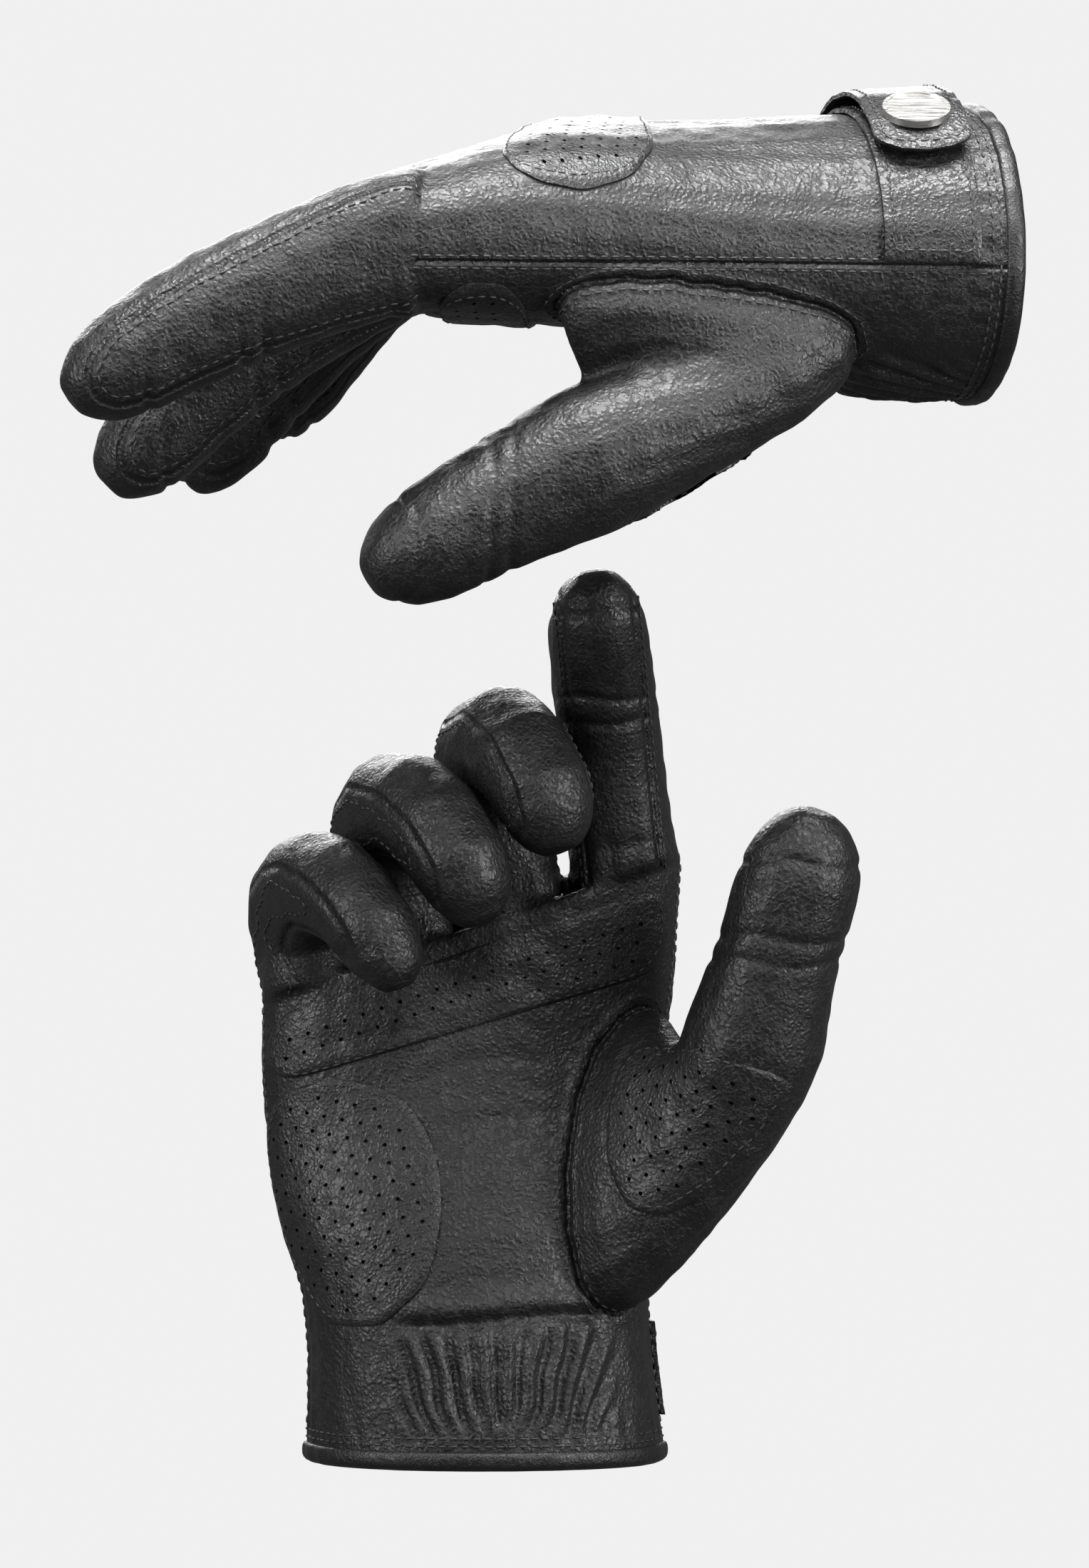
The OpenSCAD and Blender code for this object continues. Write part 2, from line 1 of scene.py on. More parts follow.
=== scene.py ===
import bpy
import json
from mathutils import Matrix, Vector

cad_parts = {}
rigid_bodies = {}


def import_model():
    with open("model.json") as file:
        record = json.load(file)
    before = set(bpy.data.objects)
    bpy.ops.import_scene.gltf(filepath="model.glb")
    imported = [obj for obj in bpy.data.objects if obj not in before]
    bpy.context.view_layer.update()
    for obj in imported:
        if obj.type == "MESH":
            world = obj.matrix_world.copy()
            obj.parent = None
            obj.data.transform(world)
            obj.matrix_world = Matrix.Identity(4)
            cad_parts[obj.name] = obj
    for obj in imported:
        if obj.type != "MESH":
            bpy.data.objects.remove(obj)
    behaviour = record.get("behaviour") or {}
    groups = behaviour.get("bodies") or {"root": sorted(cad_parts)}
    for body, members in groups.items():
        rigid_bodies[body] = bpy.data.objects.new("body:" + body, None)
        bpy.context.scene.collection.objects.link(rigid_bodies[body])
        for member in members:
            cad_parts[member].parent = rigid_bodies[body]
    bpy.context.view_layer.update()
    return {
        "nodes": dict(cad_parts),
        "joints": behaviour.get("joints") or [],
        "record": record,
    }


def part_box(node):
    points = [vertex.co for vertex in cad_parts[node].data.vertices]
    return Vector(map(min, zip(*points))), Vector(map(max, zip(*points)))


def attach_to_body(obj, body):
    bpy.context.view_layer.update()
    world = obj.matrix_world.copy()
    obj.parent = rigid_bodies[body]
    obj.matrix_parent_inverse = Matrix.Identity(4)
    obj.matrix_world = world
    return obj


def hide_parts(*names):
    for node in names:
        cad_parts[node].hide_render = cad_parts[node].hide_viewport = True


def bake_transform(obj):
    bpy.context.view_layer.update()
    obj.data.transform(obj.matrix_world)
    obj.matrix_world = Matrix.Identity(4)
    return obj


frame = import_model()

import json
import math

import bpy
import bmesh
import numpy as np
import openvdb as vdb
from mathutils import Vector
from mathutils.bvhtree import BVHTree
from mathutils.geometry import delaunay_2d_cdt

mm = 0.001
sides = ("upper", "lower")
fingers = ("index", "middle", "ring", "little")
joints = {j["name"]: j for j in frame["joints"]}
mounts = {m["name"]: m for m in frame["record"]["mounts"]}

# camera first: a long lens, looking along +Y at both gloves
cameraSetup = {"centre": (0.0136, 0.1583), "distance": 1.9, "seenHeight": 0.3685, "sensor": 24}


def makeCamera():
    data = bpy.data.cameras.new("camera")
    data.sensor_fit = "VERTICAL"
    data.sensor_height = cameraSetup["sensor"]
    data.sensor_width = cameraSetup["sensor"]
    data.lens = cameraSetup["sensor"] * cameraSetup["distance"] / cameraSetup["seenHeight"]
    data.clip_end = 20
    cam = bpy.data.objects.new("camera", data)
    bpy.context.scene.collection.objects.link(cam)
    x, z = cameraSetup["centre"]
    cam.location = (x, -cameraSetup["distance"], z)
    cam.rotation_euler = (math.radians(90), 0, 0)
    bpy.context.scene.camera = cam


makeCamera()


# each glove has a hand frame: x to the thumb, y out of the back, z from cuff to fingers
def handFrame(side):
    mount = mounts[side + "_wrist_opening"]
    z = -np.array(mount["axis"], float)
    z /= np.linalg.norm(z)
    across = np.array(joints[side + "_index_bend"]["pos_m"]) - np.array(joints[side + "_little_bend"]["pos_m"])
    x = across - z * (across @ z)
    x /= np.linalg.norm(x)
    return {"origin": np.array(mount["pos_m"], float), "axes": np.array([x, np.cross(z, x), z])}


hands = {side: handFrame(side) for side in sides}


def toHand(side, points):
    return (np.asarray(points) - hands[side]["origin"]) @ hands[side]["axes"].T


def fromHand(side, points):
    return np.asarray(points) @ hands[side]["axes"] + hands[side]["origin"]


# ---- the leather skin, grown from the frame's own tubes and panels
skinSizes = {"voxel": 0.8 * mm, "band": 3, "closeGap": 0.6 * mm, "fingerShrink": 0.5 * mm,
             "smooth": 26, "cutAt": 2.0 * mm, "lid": -1.2 * mm, "closeSeam": 1.5 * mm, "slit": 0.35 * mm,
             "seamReach": 2.2 * mm}


def nodeTriangles(name):
    mesh = frame["nodes"][name].data
    mesh.calc_loop_triangles()
    co = np.zeros(len(mesh.vertices) * 3, np.float32)
    mesh.vertices.foreach_get("co", co)
    tri = np.zeros(len(mesh.loop_triangles) * 3, np.int32)
    mesh.loop_triangles.foreach_get("vertices", tri)
    return co.reshape(-1, 3), tri.reshape(-1, 3)


def fieldOf(names, low, shape):
    # distance to the leather of these nodes, on the glove's grid; the slit between the two is closed
    voxel = skinSizes["voxel"]
    parts = []
    for name in names:
        points, triangles = nodeTriangles(name)
        level = vdb.FloatGrid.createLevelSetFromPolygons(
            points, triangles=triangles.astype(np.uint32),
            transform=vdb.createLinearTransform(voxel), halfWidth=skinSizes["band"])
        part = np.zeros(shape, np.float32)
        level.copyToArray(part, ijk=tuple(int(v) for v in low))
        parts.append(part)
    return np.minimum(np.minimum.reduce(parts), np.maximum.reduce(parts) - skinSizes["slit"])


def flood(free):
    # free cells that the outside reaches, by sweeps along each axis both ways
    outside = np.zeros_like(free)
    for axis in range(3):
        view = np.moveaxis(outside, axis, 0)
        clear = np.moveaxis(free, axis, 0)
        view[0] |= clear[0]
        view[-1] |= clear[-1]
    count = -1
    while count != outside.sum():
        count = outside.sum()
        for axis in range(3):
            view = np.moveaxis(outside, axis, 0)
            clear = np.moveaxis(free, axis, 0)
            for i in range(1, view.shape[0]):
                view[i] |= view[i - 1] & clear[i]
            for i in range(view.shape[0] - 2, -1, -1):
                view[i] |= view[i + 1] & clear[i]
    return outside


def grow(mask):
    out = mask.copy()
    for axis in range(3):
        a = np.moveaxis(out, axis, 0)
        b = a.copy()
        a[1:] |= b[:-1]
        a[:-1] |= b[1:]
    return out


def blurred(field, times):
    for _ in range(times):
        for axis in range(3):
            a = np.moveaxis(field, axis, 0)
            a[1:-1] = 0.5 * a[1:-1] + 0.25 * (a[:-2] + a[2:])
    return field


def edgesOf(quads):
    pairs = np.concatenate([quads[:, [0, 1]], quads[:, [1, 2]], quads[:, [2, 3]], quads[:, [3, 0]]])
    pairs.sort(axis=1)
    return np.unique(pairs, axis=0)


def relax(points, edges, times, strength=0.55, weight=None):
    # evens the points out, and pushes back half the way so that the shape keeps its size
    n = len(points)
    a = np.concatenate([edges[:, 0], edges[:, 1]])
    b = np.concatenate([edges[:, 1], edges[:, 0]])
    count = np.maximum(np.bincount(a, minlength=n), 1)[:, None]
    for step in range(times):
        for pull in (strength, -strength * 0.93):
            mean = np.stack([np.bincount(a, points[b, k], n) for k in range(3)], 1) / count
            move = (mean - points) * pull
            points = points + (move if weight is None else move * weight[:, None])
    return points


def normalsOf(points, quads):
    d1 = points[quads[:, 2]] - points[quads[:, 0]]
    d2 = points[quads[:, 3]] - points[quads[:, 1]]
    face = np.cross(d1, d2)
    out = np.zeros_like(points)
    for k in range(4):
        for c in range(3):
            out[:, c] += np.bincount(quads[:, k], face[:, c], len(points))
    return out / np.maximum(np.linalg.norm(out, axis=1), 1e-12)[:, None]


def sampleField(field, low, points):
    index = np.clip(np.rint(points / skinSizes["voxel"]).astype(int) - low, 0, np.array(field.shape) - 1)
    return field[index[:, 0], index[:, 1], index[:, 2]]


def palmFill(place, field):
    turns, rowHeight = 72, 2 * mm
    angle = np.floor((np.arctan2(place[..., 1], place[..., 0]) / (2 * np.pi) + 0.5) * turns).astype(int) % turns
    row = np.floor(place[..., 2] / rowHeight).astype(int)
    radius = np.hypot(place[..., 0], place[..., 1])
    wall = (field < 0.2 * mm) & (row >= 0)
    rows = row[wall].max() + 1
    reach = np.zeros((rows, turns))
    np.maximum.at(reach, (row[wall], angle[wall]), radius[wall])
    steps = np.arange(turns)
    for r in range(rows):
        known = reach[r] > 0
        if known.sum() > 6:
            reach[r] = np.interp(steps, steps[known], reach[r][known], period=turns)
    # the finger roots stand on a slanting line from the index to the little finger
    high = np.full(40, -1.0)
    column = np.clip(np.floor((place[..., 0] + 60 * mm) / (3 * mm)).astype(int), 0, 39)
    np.maximum.at(high, column[wall], place[..., 2][wall])
    known = np.flatnonzero(high > 0)[2:-2]
    slope, base = np.polyfit((known + 0.5) * 3 * mm - 60 * mm, high[known], 1)
    print("root line", round(slope, 3), round(base / mm, 1))
    top = base + slope * place[..., 0] - 1.5 * mm
    allowed = reach[np.clip(row, 0, rows - 1), angle] - 0.9 * mm
    return (radius < allowed) & (place[..., 2] > skinSizes["lid"]) & (place[..., 2] < top)


def growSkin(side):
    voxel = skinSizes["voxel"]
    groups = {"hand": ["back_panel", "palm_panel"], "thumb": ["thumb", "thumb_root"]}
    for f in fingers:
        groups[f] = [f + "_finger", f + "_root"]
    groups = {k: [side + "_" + n for n in v] for k, v in groups.items()}
    boxes = [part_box(n) for v in groups.values() for n in v]
    lowest = np.min([list(b[0]) for b in boxes], axis=0)
    highest = np.max([list(b[1]) for b in boxes], axis=0)
    low = np.floor(lowest / voxel).astype(int) - 7
    shape = tuple(np.ceil(highest / voxel).astype(int) + 7 - low)
    fields = {k: fieldOf(v, low, shape) for k, v in groups.items()}
    # a finger close to the next one is thinned there, so that the two don't melt together
    beside = np.sort(np.stack([fields[f] for f in fingers]), axis=0)[1]
    thin = np.clip(fields["hand"] / (2 * voxel), 0, 1) * np.clip((2.3 * mm - beside) / voxel, 0, 1)
    union = np.minimum(fields["hand"], fields["thumb"])
    for f in fingers:
        union = np.minimum(union, fields[f] + skinSizes["fingerShrink"] * thin)
    # the palm is filled row by row round its own axis, so that only the fingers' insides stay to be told
    grid = np.stack(np.meshgrid(*[(np.arange(s) + l) * voxel for s, l in zip(shape, low)], indexing="ij"), -1)
    place = toHand(side, grid.reshape(-1, 3)).reshape(*shape, 3)
    solid = palmFill(place, fields["hand"])
    seam = np.maximum(fields["hand"], np.minimum.reduce([fields[k] for k in fields if k != "hand"]))
    free = union > np.where(seam < skinSizes["seamReach"], skinSizes["closeSeam"], skinSizes["closeGap"])
    outside = flood(free & ~solid)
    print(side, "inside share", round(1 - float(outside.mean()), 3))
    near = grow(outside)
    phi = np.where(near, union, -2 * voxel).astype(np.float32)
    phi = blurred(np.clip(phi, -2 * voxel, 2 * voxel), 2)
    level = vdb.FloatGrid(2 * voxel)
    level.copyFromArray(phi, ijk=tuple(int(v) for v in low))
    level.transform = vdb.createLinearTransform(voxel)
    points, quads = level.convertToQuads(isovalue=0.0)
    points = points.astype(float)
    quads = quads.astype(int)[:, ::-1]
    keep = toHand(side, points)[:, 2] > skinSizes["cutAt"]
    quads = quads[keep[quads].all(axis=1)]
    used = np.unique(quads)
    remap = np.full(len(points), -1)
    remap[used] = np.arange(len(used))
    points, quads = points[used], remap[quads]
    if (normalsOf(points, quads) * (points - points.mean(0))).sum() < 0:
        quads = quads[:, ::-1]
    edges = edgesOf(quads)
    points = relax(points, edges, skinSizes["smooth"])
    owner = np.argmin(np.stack([sampleField(fields[k], low, points) for k in groups]), axis=0)
    names = list(groups)
    isFinger = np.isin(owner, [names.index(f) for f in fingers])
    push = sampleField(thin, low, points) * isFinger * skinSizes["fingerShrink"]
    points = points + normalsOf(points, quads) * push[:, None]
    print(side, "skin:", len(points), "points")
    return {"points": points, "quads": quads, "edges": edges, "owner": owner, "parts": names}


skins = {side: growSkin(side) for side in sides}


def plainMesh(name, points, faces, smooth=True):
    mesh = bpy.data.meshes.new(name)
    mesh.from_pydata([tuple(p) for p in points], [], [tuple(int(i) for i in f) for f in faces])
    mesh.update()
    if smooth:
        mesh.polygons.foreach_set("use_smooth", np.ones(len(mesh.polygons), bool))
    obj = bpy.data.objects.new(name, mesh)
    bpy.context.scene.collection.objects.link(obj)
    return obj


# ---- shaping: finger frames, seams, folds and puckers
def fingerFrame(side, finger):
    # turn is the bend's own axis, so a slice across it follows the finger round its curl
    name = side + ("_thumb_swing" if finger == "thumb" else "_" + finger + "_bend")
    joint = joints[name]
    pos = np.array(joint["pos_m"], float)
    root, _ = nodeTriangles(side + "_" + finger + "_root")
    middle = (root.min(0) + root.max(0)) / 2
    axis = np.array(joint["axis"], float)
    return {"pos": pos, "axis": axis / np.linalg.norm(axis), "out": middle - pos,
            "body": joint["child"], "hand": joint["parent"]}


frames = {side: {f: fingerFrame(side, f) for f in fingers + ("thumb",)} for side in sides}


def wave(points, size, seed):
    # a slow, even noise made of a few sines
    rnd = np.random.default_rng(seed)
    out = np.zeros(len(points))
    for k in range(7):
        direction = rnd.normal(size=3)
        direction /= np.linalg.norm(direction)
        out += np.sin(points @ direction * 2 * np.pi / (size * rnd.uniform(0.6, 1.5)) + rnd.uniform(0, 6.3))
    return out / 3


def bump(x, middle, width):
    return np.exp(-((x - middle) / width) ** 2)


def window(x, low, high, soft):
    up = np.clip((x - low) / soft + 0.5, 0, 1)
    down = np.clip((high - x) / soft + 0.5, 0, 1)
    return up * up * (3 - 2 * up) * down * down * (3 - 2 * down)


shaping = {"slow": 0.28 * mm, "mid": 0.12 * mm, "pucker": 1.0 * mm, "fold": 1.3 * mm, "crease": 0.7 * mm,
           "seamOut": 0.62, "fingerHalf": 12.0 * mm}


def ringsFrom(count, edges, start, far):
    # steps over the mesh from the start points, with the last ring kept for what is further
    steps = np.full(count, far, float)
    steps[start] = 0
    for _ in range(far):
        np.minimum.at(steps, edges[:, 0], steps[edges[:, 1]] + 1)
        np.minimum.at(steps, edges[:, 1], steps[edges[:, 0]] + 1)
    return steps


def evened(values, edges, times):
    count = np.bincount(edges.ravel(), minlength=len(values)) + 1
    for _ in range(times):
        total = values + np.bincount(edges[:, 0], values[edges[:, 1]], len(values))
        values = (total + np.bincount(edges[:, 1], values[edges[:, 0]], len(values))) / count
    return values


def shape(side):
    s = skins[side]
    p, owner, parts = s["points"], s["owner"], s["parts"]
    h = toHand(side, p)
    x, y, z = h.T
    normal = normalsOf(p, s["quads"])
    isThumb = owner == parts.index("thumb")
    isHand = owner == parts.index("hand")
    depth = shaping["slow"] * wave(p, 34 * mm, 3) + shaping["mid"] * wave(p, 9 * mm, 5)
    palm = window(-y, 2 * mm, 90 * mm, 6 * mm) * isHand
    # the elastic draws the wrist in: a fan of puckers under one fold
    fan = (x - 4 * mm) / (1 + 0.018 * (z / mm - 14))
    gather = palm * window(x, -19 * mm, 28 * mm, 8 * mm)
    ridges = np.sin(fan / (2.25 * mm) * np.pi + 0.6 * wave(p, 14 * mm, 8))
    depth += gather * window(z, 10 * mm, 32 * mm, 9 * mm) * ridges * shaping["pucker"]
    line = 34 * mm + 1.2 * mm * np.sin(x / (11 * mm))
    depth -= gather * bump(z, line, 1.5 * mm) * shaping["fold"]
    depth += gather * bump(z, line + 3.6 * mm, 2.4 * mm) * shaping["fold"] * 0.6
    # small puckers all round just over the hem
    around = np.arctan2(y, x)
    depth += isHand * bump(z, 8.5 * mm, 2.6 * mm) * np.sin(around * 46 + wave(p, 20 * mm, 9)) * 0.16 * mm
    # creases over the palm and behind the knuckles
    heart = 98 * mm + 0.0045 / mm * (x + 40 * mm) ** 2
    depth -= palm * bump(z, heart, 1.1 * mm) * 0.42 * mm * window(x, -38 * mm, 16 * mm, 14 * mm)
    for finger in fingers:
        f = frames[side][finger]
        mine = owner == parts.index(finger)
        along = (p - f["pos"]) @ (f["out"] / np.linalg.norm(f["out"]))
        inner = (normal @ np.cross(f["axis"], f["out"])) * np.sign(
            np.cross(f["axis"], f["out"]) @ (-hands[side]["axes"][1]))
        inner = np.clip(inner / np.linalg.norm(f["out"]) + 0.25, 0, 1)
        if finger == "index" or side == "upper":
            for at in (36, 41.5, 62):
                sway = 0.9 * mm * np.sin((p - f["pos"]) @ f["axis"] / (4 * mm) + at)
                depth -= mine * inner * bump(along, at * mm + sway, 1.0 * mm) * shaping["crease"]
        depth -= mine * bump(along, 7 * mm, 1.6 * mm) * inner * 0.35 * mm
    f = frames[side]["thumb"]
    tip = (p - f["pos"]) @ hands[side]["axes"][2]
    for at in (47, 52.5, 70):
        sway = 1.2 * mm * np.sin(x / (5 * mm) + at)
        front = window(-y, -6 * mm, 90 * mm, 18 * mm)
        depth -= isThumb * front * bump(tip, at * mm + sway, 1.1 * mm) * 0.5 * mm
    # the thumb is set into the palm with a corded seam
    a, b = owner[s["edges"][:, 0]], owner[s["edges"][:, 1]]
    thumbIndex, handIndex = parts.index("thumb"), parts.index("hand")
    border = ((a == thumbIndex) & (b == handIndex)) | ((b == thumbIndex) & (a == handIndex))
    rings = ringsFrom(len(p), s["edges"], np.unique(s["edges"][border]), 14)
    rings = np.abs(evened(rings * np.where(isThumb, -1, 1), s["edges"], 14))
    depth += (0.45 * bump(rings, 2.6, 1.2) - 0.55 * bump(rings, 0, 0.9)) * mm
    p = p + normal * depth[:, None]
    near = relax(p, s["edges"], 3, 0.5, weight=(rings < 5) * 0.8)
    s["points"] = relax(near, s["edges"], 1, 0.4)
    s["normals"] = normalsOf(s["points"], s["quads"])
    s["hand"] = toHand(side, s["points"])
    s["thumbSeam"] = rings * skinSizes["voxel"] * 0.85
    # how far each point is from the nearest seam, for the leather's own groove and the painted shade along it
    away = s["thumbSeam"].copy()
    sideSeam = np.where((s["hand"][:, 0] > 0) | (z > 60 * mm), np.abs(s["hand"][:, 1]), 1)
    away = np.where(isHand, np.minimum(away, sideSeam), away)
    s["across"] = np.zeros(len(p))
    for finger in fingers:
        f = frames[side][finger]
        mine = owner == parts.index(finger)
        u = (s["points"] - f["pos"]) @ f["axis"]
        half = np.abs(u[mine]).max()
        s["across"][mine] = u[mine] / half
        away[mine] = np.abs(np.abs(u[mine]) - shaping["seamOut"] * half)
    s["away"] = away
    print(side, "shaped")


for side in sides:
    shape(side)


# ---- the pieces of leather, cut out of the skin
def setFaces(name, points, faces):
    mesh = bpy.data.meshes.new(name)
    faces = np.asarray(faces, dtype=np.int32)
    corners = faces.shape[1]
    mesh.vertices.add(len(points))
    mesh.vertices.foreach_set("co", np.asarray(points, np.float32).ravel())
    mesh.loops.add(faces.size)
    mesh.loops.foreach_set("vertex_index", faces.ravel())
    mesh.polygons.add(len(faces))
    mesh.polygons.foreach_set("loop_start", np.arange(len(faces), dtype=np.int32) * corners)
    mesh.polygons.foreach_set("use_smooth", np.ones(len(faces), bool))
    mesh.update(calc_edges=True)
    mesh.validate()
    obj = bpy.data.objects.new(name, mesh)
    bpy.context.scene.collection.objects.link(obj)
    return obj


def addValues(obj, name, values):
    layer = obj.data.attributes.new(name, "FLOAT", "POINT")
    layer.data.foreach_set("value", np.asarray(values, np.float32))


def attach(obj, side, part):
    # the hand's pieces ride on the hand; finger and thumb pieces are baked in place
    if part == "hand":
        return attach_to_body(obj, frames[side]["index"]["hand"])
    if part == "thumb":
        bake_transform(obj)
    else:
        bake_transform(obj)
    return obj


def cutPiece(side, part):
    s = skins[side]
    # a quad on a border goes to the part with the lowest number among its corners
    quads = s["quads"][s["owner"][s["quads"]].min(axis=1) == s["parts"].index(part)]
    used = np.unique(quads)
    remap = np.full(len(s["points"]), -1)
    remap[used] = np.arange(len(used))
    obj = setFaces(side + "_" + part + "_leather", s["points"][used], remap[quads])
    obj.data.normals_split_custom_set_from_vertices([tuple(n) for n in s["normals"][used]])
    addValues(obj, "seamAway", s["away"][used])
    return obj


pieces = {side: {} for side in sides}
stands = {"hand": ("back_panel", "palm_panel"), "thumb": ("thumb", "thumb_root")}
for side in sides:
    for part in ("hand",) + fingers + ("thumb",):
        obj = cutPiece(side, part)
        pieces[side][part] = obj
        attach(obj, side, part)
        nodes = stands.get(part, (part + "_finger", part + "_root"))
        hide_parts(*[side + "_" + n for n in nodes])
print("leather pieces cut")


def addLining(side):
    # the inside of the cuff, as far in as it can be seen
    s = skins[side]
    keep = (s["hand"][:, 2] < 95 * mm) & (s["owner"] == 0)
    quads = s["quads"][keep[s["quads"]].all(axis=1)]
    used = np.unique(quads)
    remap = np.full(len(s["points"]), -1)
    remap[used] = np.arange(len(used))
    inner = (s["points"] - s["normals"] * 1.3 * mm)[used]
    obj = setFaces(side + "_lining", inner, remap[quads][:, ::-1])
    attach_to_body(obj, side + "_hand")
    return obj


linings = {side: addLining(side) for side in sides}


# ---- seams: lines of equal value over a piece, sewn by geometry nodes
def isoLines(points, quads, values, level, shown=None):
    triangles = np.concatenate([quads[:, [0, 1, 2]], quads[:, [0, 2, 3]]])
    if shown is not None:
        triangles = triangles[shown[triangles].all(axis=1)]
    above = values[triangles] > level
    mixed = above.any(axis=1) & ~above.all(axis=1)
    links = {}
    places = {}
    for tri, flags in zip(triangles[mixed].tolist(), above[mixed].tolist()):
        keys = []
        for i in range(3):
            j = (i + 1) % 3
            if flags[i] != flags[j]:
                a, b = sorted((tri[i], tri[j]))
                keys.append((a, b))
                if (a, b) not in places:
                    t = (level - values[a]) / (values[b] - values[a])
                    places[(a, b)] = points[a] * (1 - t) + points[b] * t
        links.setdefault(keys[0], []).append(keys[1])
        links.setdefault(keys[1], []).append(keys[0])
    lines = []
    free = set(links)
    for first in [k for k in links if len(links[k]) == 1] + list(links):
        if first not in free:
            continue
        line = [first]
        free.discard(first)
        while True:
            following = [k for k in links[line[-1]] if k in free]
            if not following:
                break
            line.append(following[0])
            free.discard(following[0])
        if len(line) > 6:
            path = np.array([places[k] for k in line])
            for _ in range(3):
                path[1:-1] = (path[:-2] + 2 * path[1:-1] + path[2:]) / 4
            lines.append(path)
    return lines


def stitchGroup():
    tree = bpy.data.node_groups.new("sewing", "GeometryNodeTree")
    tree.interface.new_socket("Geometry", in_out="INPUT", socket_type="NodeSocketGeometry")
    for name, value in (("Pitch", 2.7 * mm), ("Length", 1.9 * mm), ("Radius", 0.27 * mm)):
        item = tree.interface.new_socket(name, in_out="INPUT", socket_type="NodeSocketFloat")
        item.default_value = value
    tree.interface.new_socket("Thread", in_out="INPUT", socket_type="NodeSocketMaterial")
    tree.interface.new_socket("Geometry", in_out="OUTPUT", socket_type="NodeSocketGeometry")
    make, link = tree.nodes.new, tree.links.new
    given = make("NodeGroupInput")
    result = make("NodeGroupOutput")
    curve = make("GeometryNodeMeshToCurve")
    even = make("GeometryNodeResampleCurve")
    even.mode = "LENGTH"
    ball = make("GeometryNodeMeshUVSphere")
    ball.inputs["Segments"].default_value = 8
    ball.inputs["Rings"].default_value = 6
    ball.inputs["Radius"].default_value = 1
    half = make("ShaderNodeMath")
    half.operation = "MULTIPLY"
    half.inputs[1].default_value = 0.5
    size = make("ShaderNodeCombineXYZ")
    stitch = make("GeometryNodeTransform")
    tangent = make("GeometryNodeInputTangent")
    turn = make("FunctionNodeAlignRotationToVector")
    turn.axis = "X"
    place = make("GeometryNodeInstanceOnPoints")
    real = make("GeometryNodeRealizeInstances")
    smooth = make("GeometryNodeSetShadeSmooth")
    paint = make("GeometryNodeSetMaterial")
    link(given.outputs["Geometry"], curve.inputs["Mesh"])
    link(curve.outputs["Curve"], even.inputs["Curve"])
    link(given.outputs["Pitch"], even.inputs["Length"])
    link(even.outputs["Curve"], place.inputs["Points"])
    link(given.outputs["Length"], half.inputs[0])
    link(half.outputs[0], size.inputs["X"])
    link(given.outputs["Radius"], size.inputs["Y"])
    link(given.outputs["Radius"], size.inputs["Z"])
    link(ball.outputs["Mesh"], stitch.inputs["Geometry"])
    link(size.outputs[0], stitch.inputs["Scale"])
    link(stitch.outputs["Geometry"], place.inputs["Instance"])
    link(tangent.outputs[0], turn.inputs["Vector"])
    link(turn.outputs[0], place.inputs["Rotation"])
    link(place.outputs["Instances"], real.inputs["Geometry"])
    link(real.outputs["Geometry"], smooth.inputs["Geometry"])
    link(smooth.outputs["Geometry"], paint.inputs["Geometry"])
    link(given.outputs["Thread"], paint.inputs["Material"])
    link(paint.outputs["Geometry"], result.inputs["Geometry"])
    return tree


sewing = stitchGroup()


# ---- materials
def newGroup(name, inputs, outputs):
    tree = bpy.data.node_groups.new(name, "ShaderNodeTree")
    for title, value in inputs:
        item = tree.interface.new_socket(title, in_out="INPUT", socket_type="NodeSocketFloat")
        item.default_value = value
    for title in outputs:
        tree.interface.new_socket(title, in_out="OUTPUT", socket_type="NodeSocketFloat")
    return tree, tree.nodes.new("NodeGroupInput"), tree.nodes.new("NodeGroupOutput")


def mathNode(tree, operation, a, b):
    node = tree.nodes.new("ShaderNodeMath")
    node.operation = operation
    for i, value in enumerate((a, b)):
        if isinstance(value, (int, float)):
            node.inputs[i].default_value = value
        else:
            tree.links.new(value, node.inputs[i])
    return node.outputs[0]


def rangeNode(tree, value, low, high, toLow, toHigh, smooth=False):
    node = tree.nodes.new("ShaderNodeMapRange")
    node.interpolation_type = "SMOOTHSTEP" if smooth else "LINEAR"
    for title, number in (("From Min", low), ("From Max", high), ("To Min", toLow), ("To Max", toHigh)):
        node.inputs[title].default_value = number
    tree.links.new(value, node.inputs["Value"])
    return node.outputs["Result"]


def noiseNode(tree, coords, scale, detail=3, rough=0.5):
    node = tree.nodes.new("ShaderNodeTexNoise")
    node.inputs["Scale"].default_value = scale
    node.inputs["Detail"].default_value = detail
    node.inputs["Roughness"].default_value = rough
    tree.links.new(coords, node.inputs["Vector"])
    return node.outputs["Fac"]


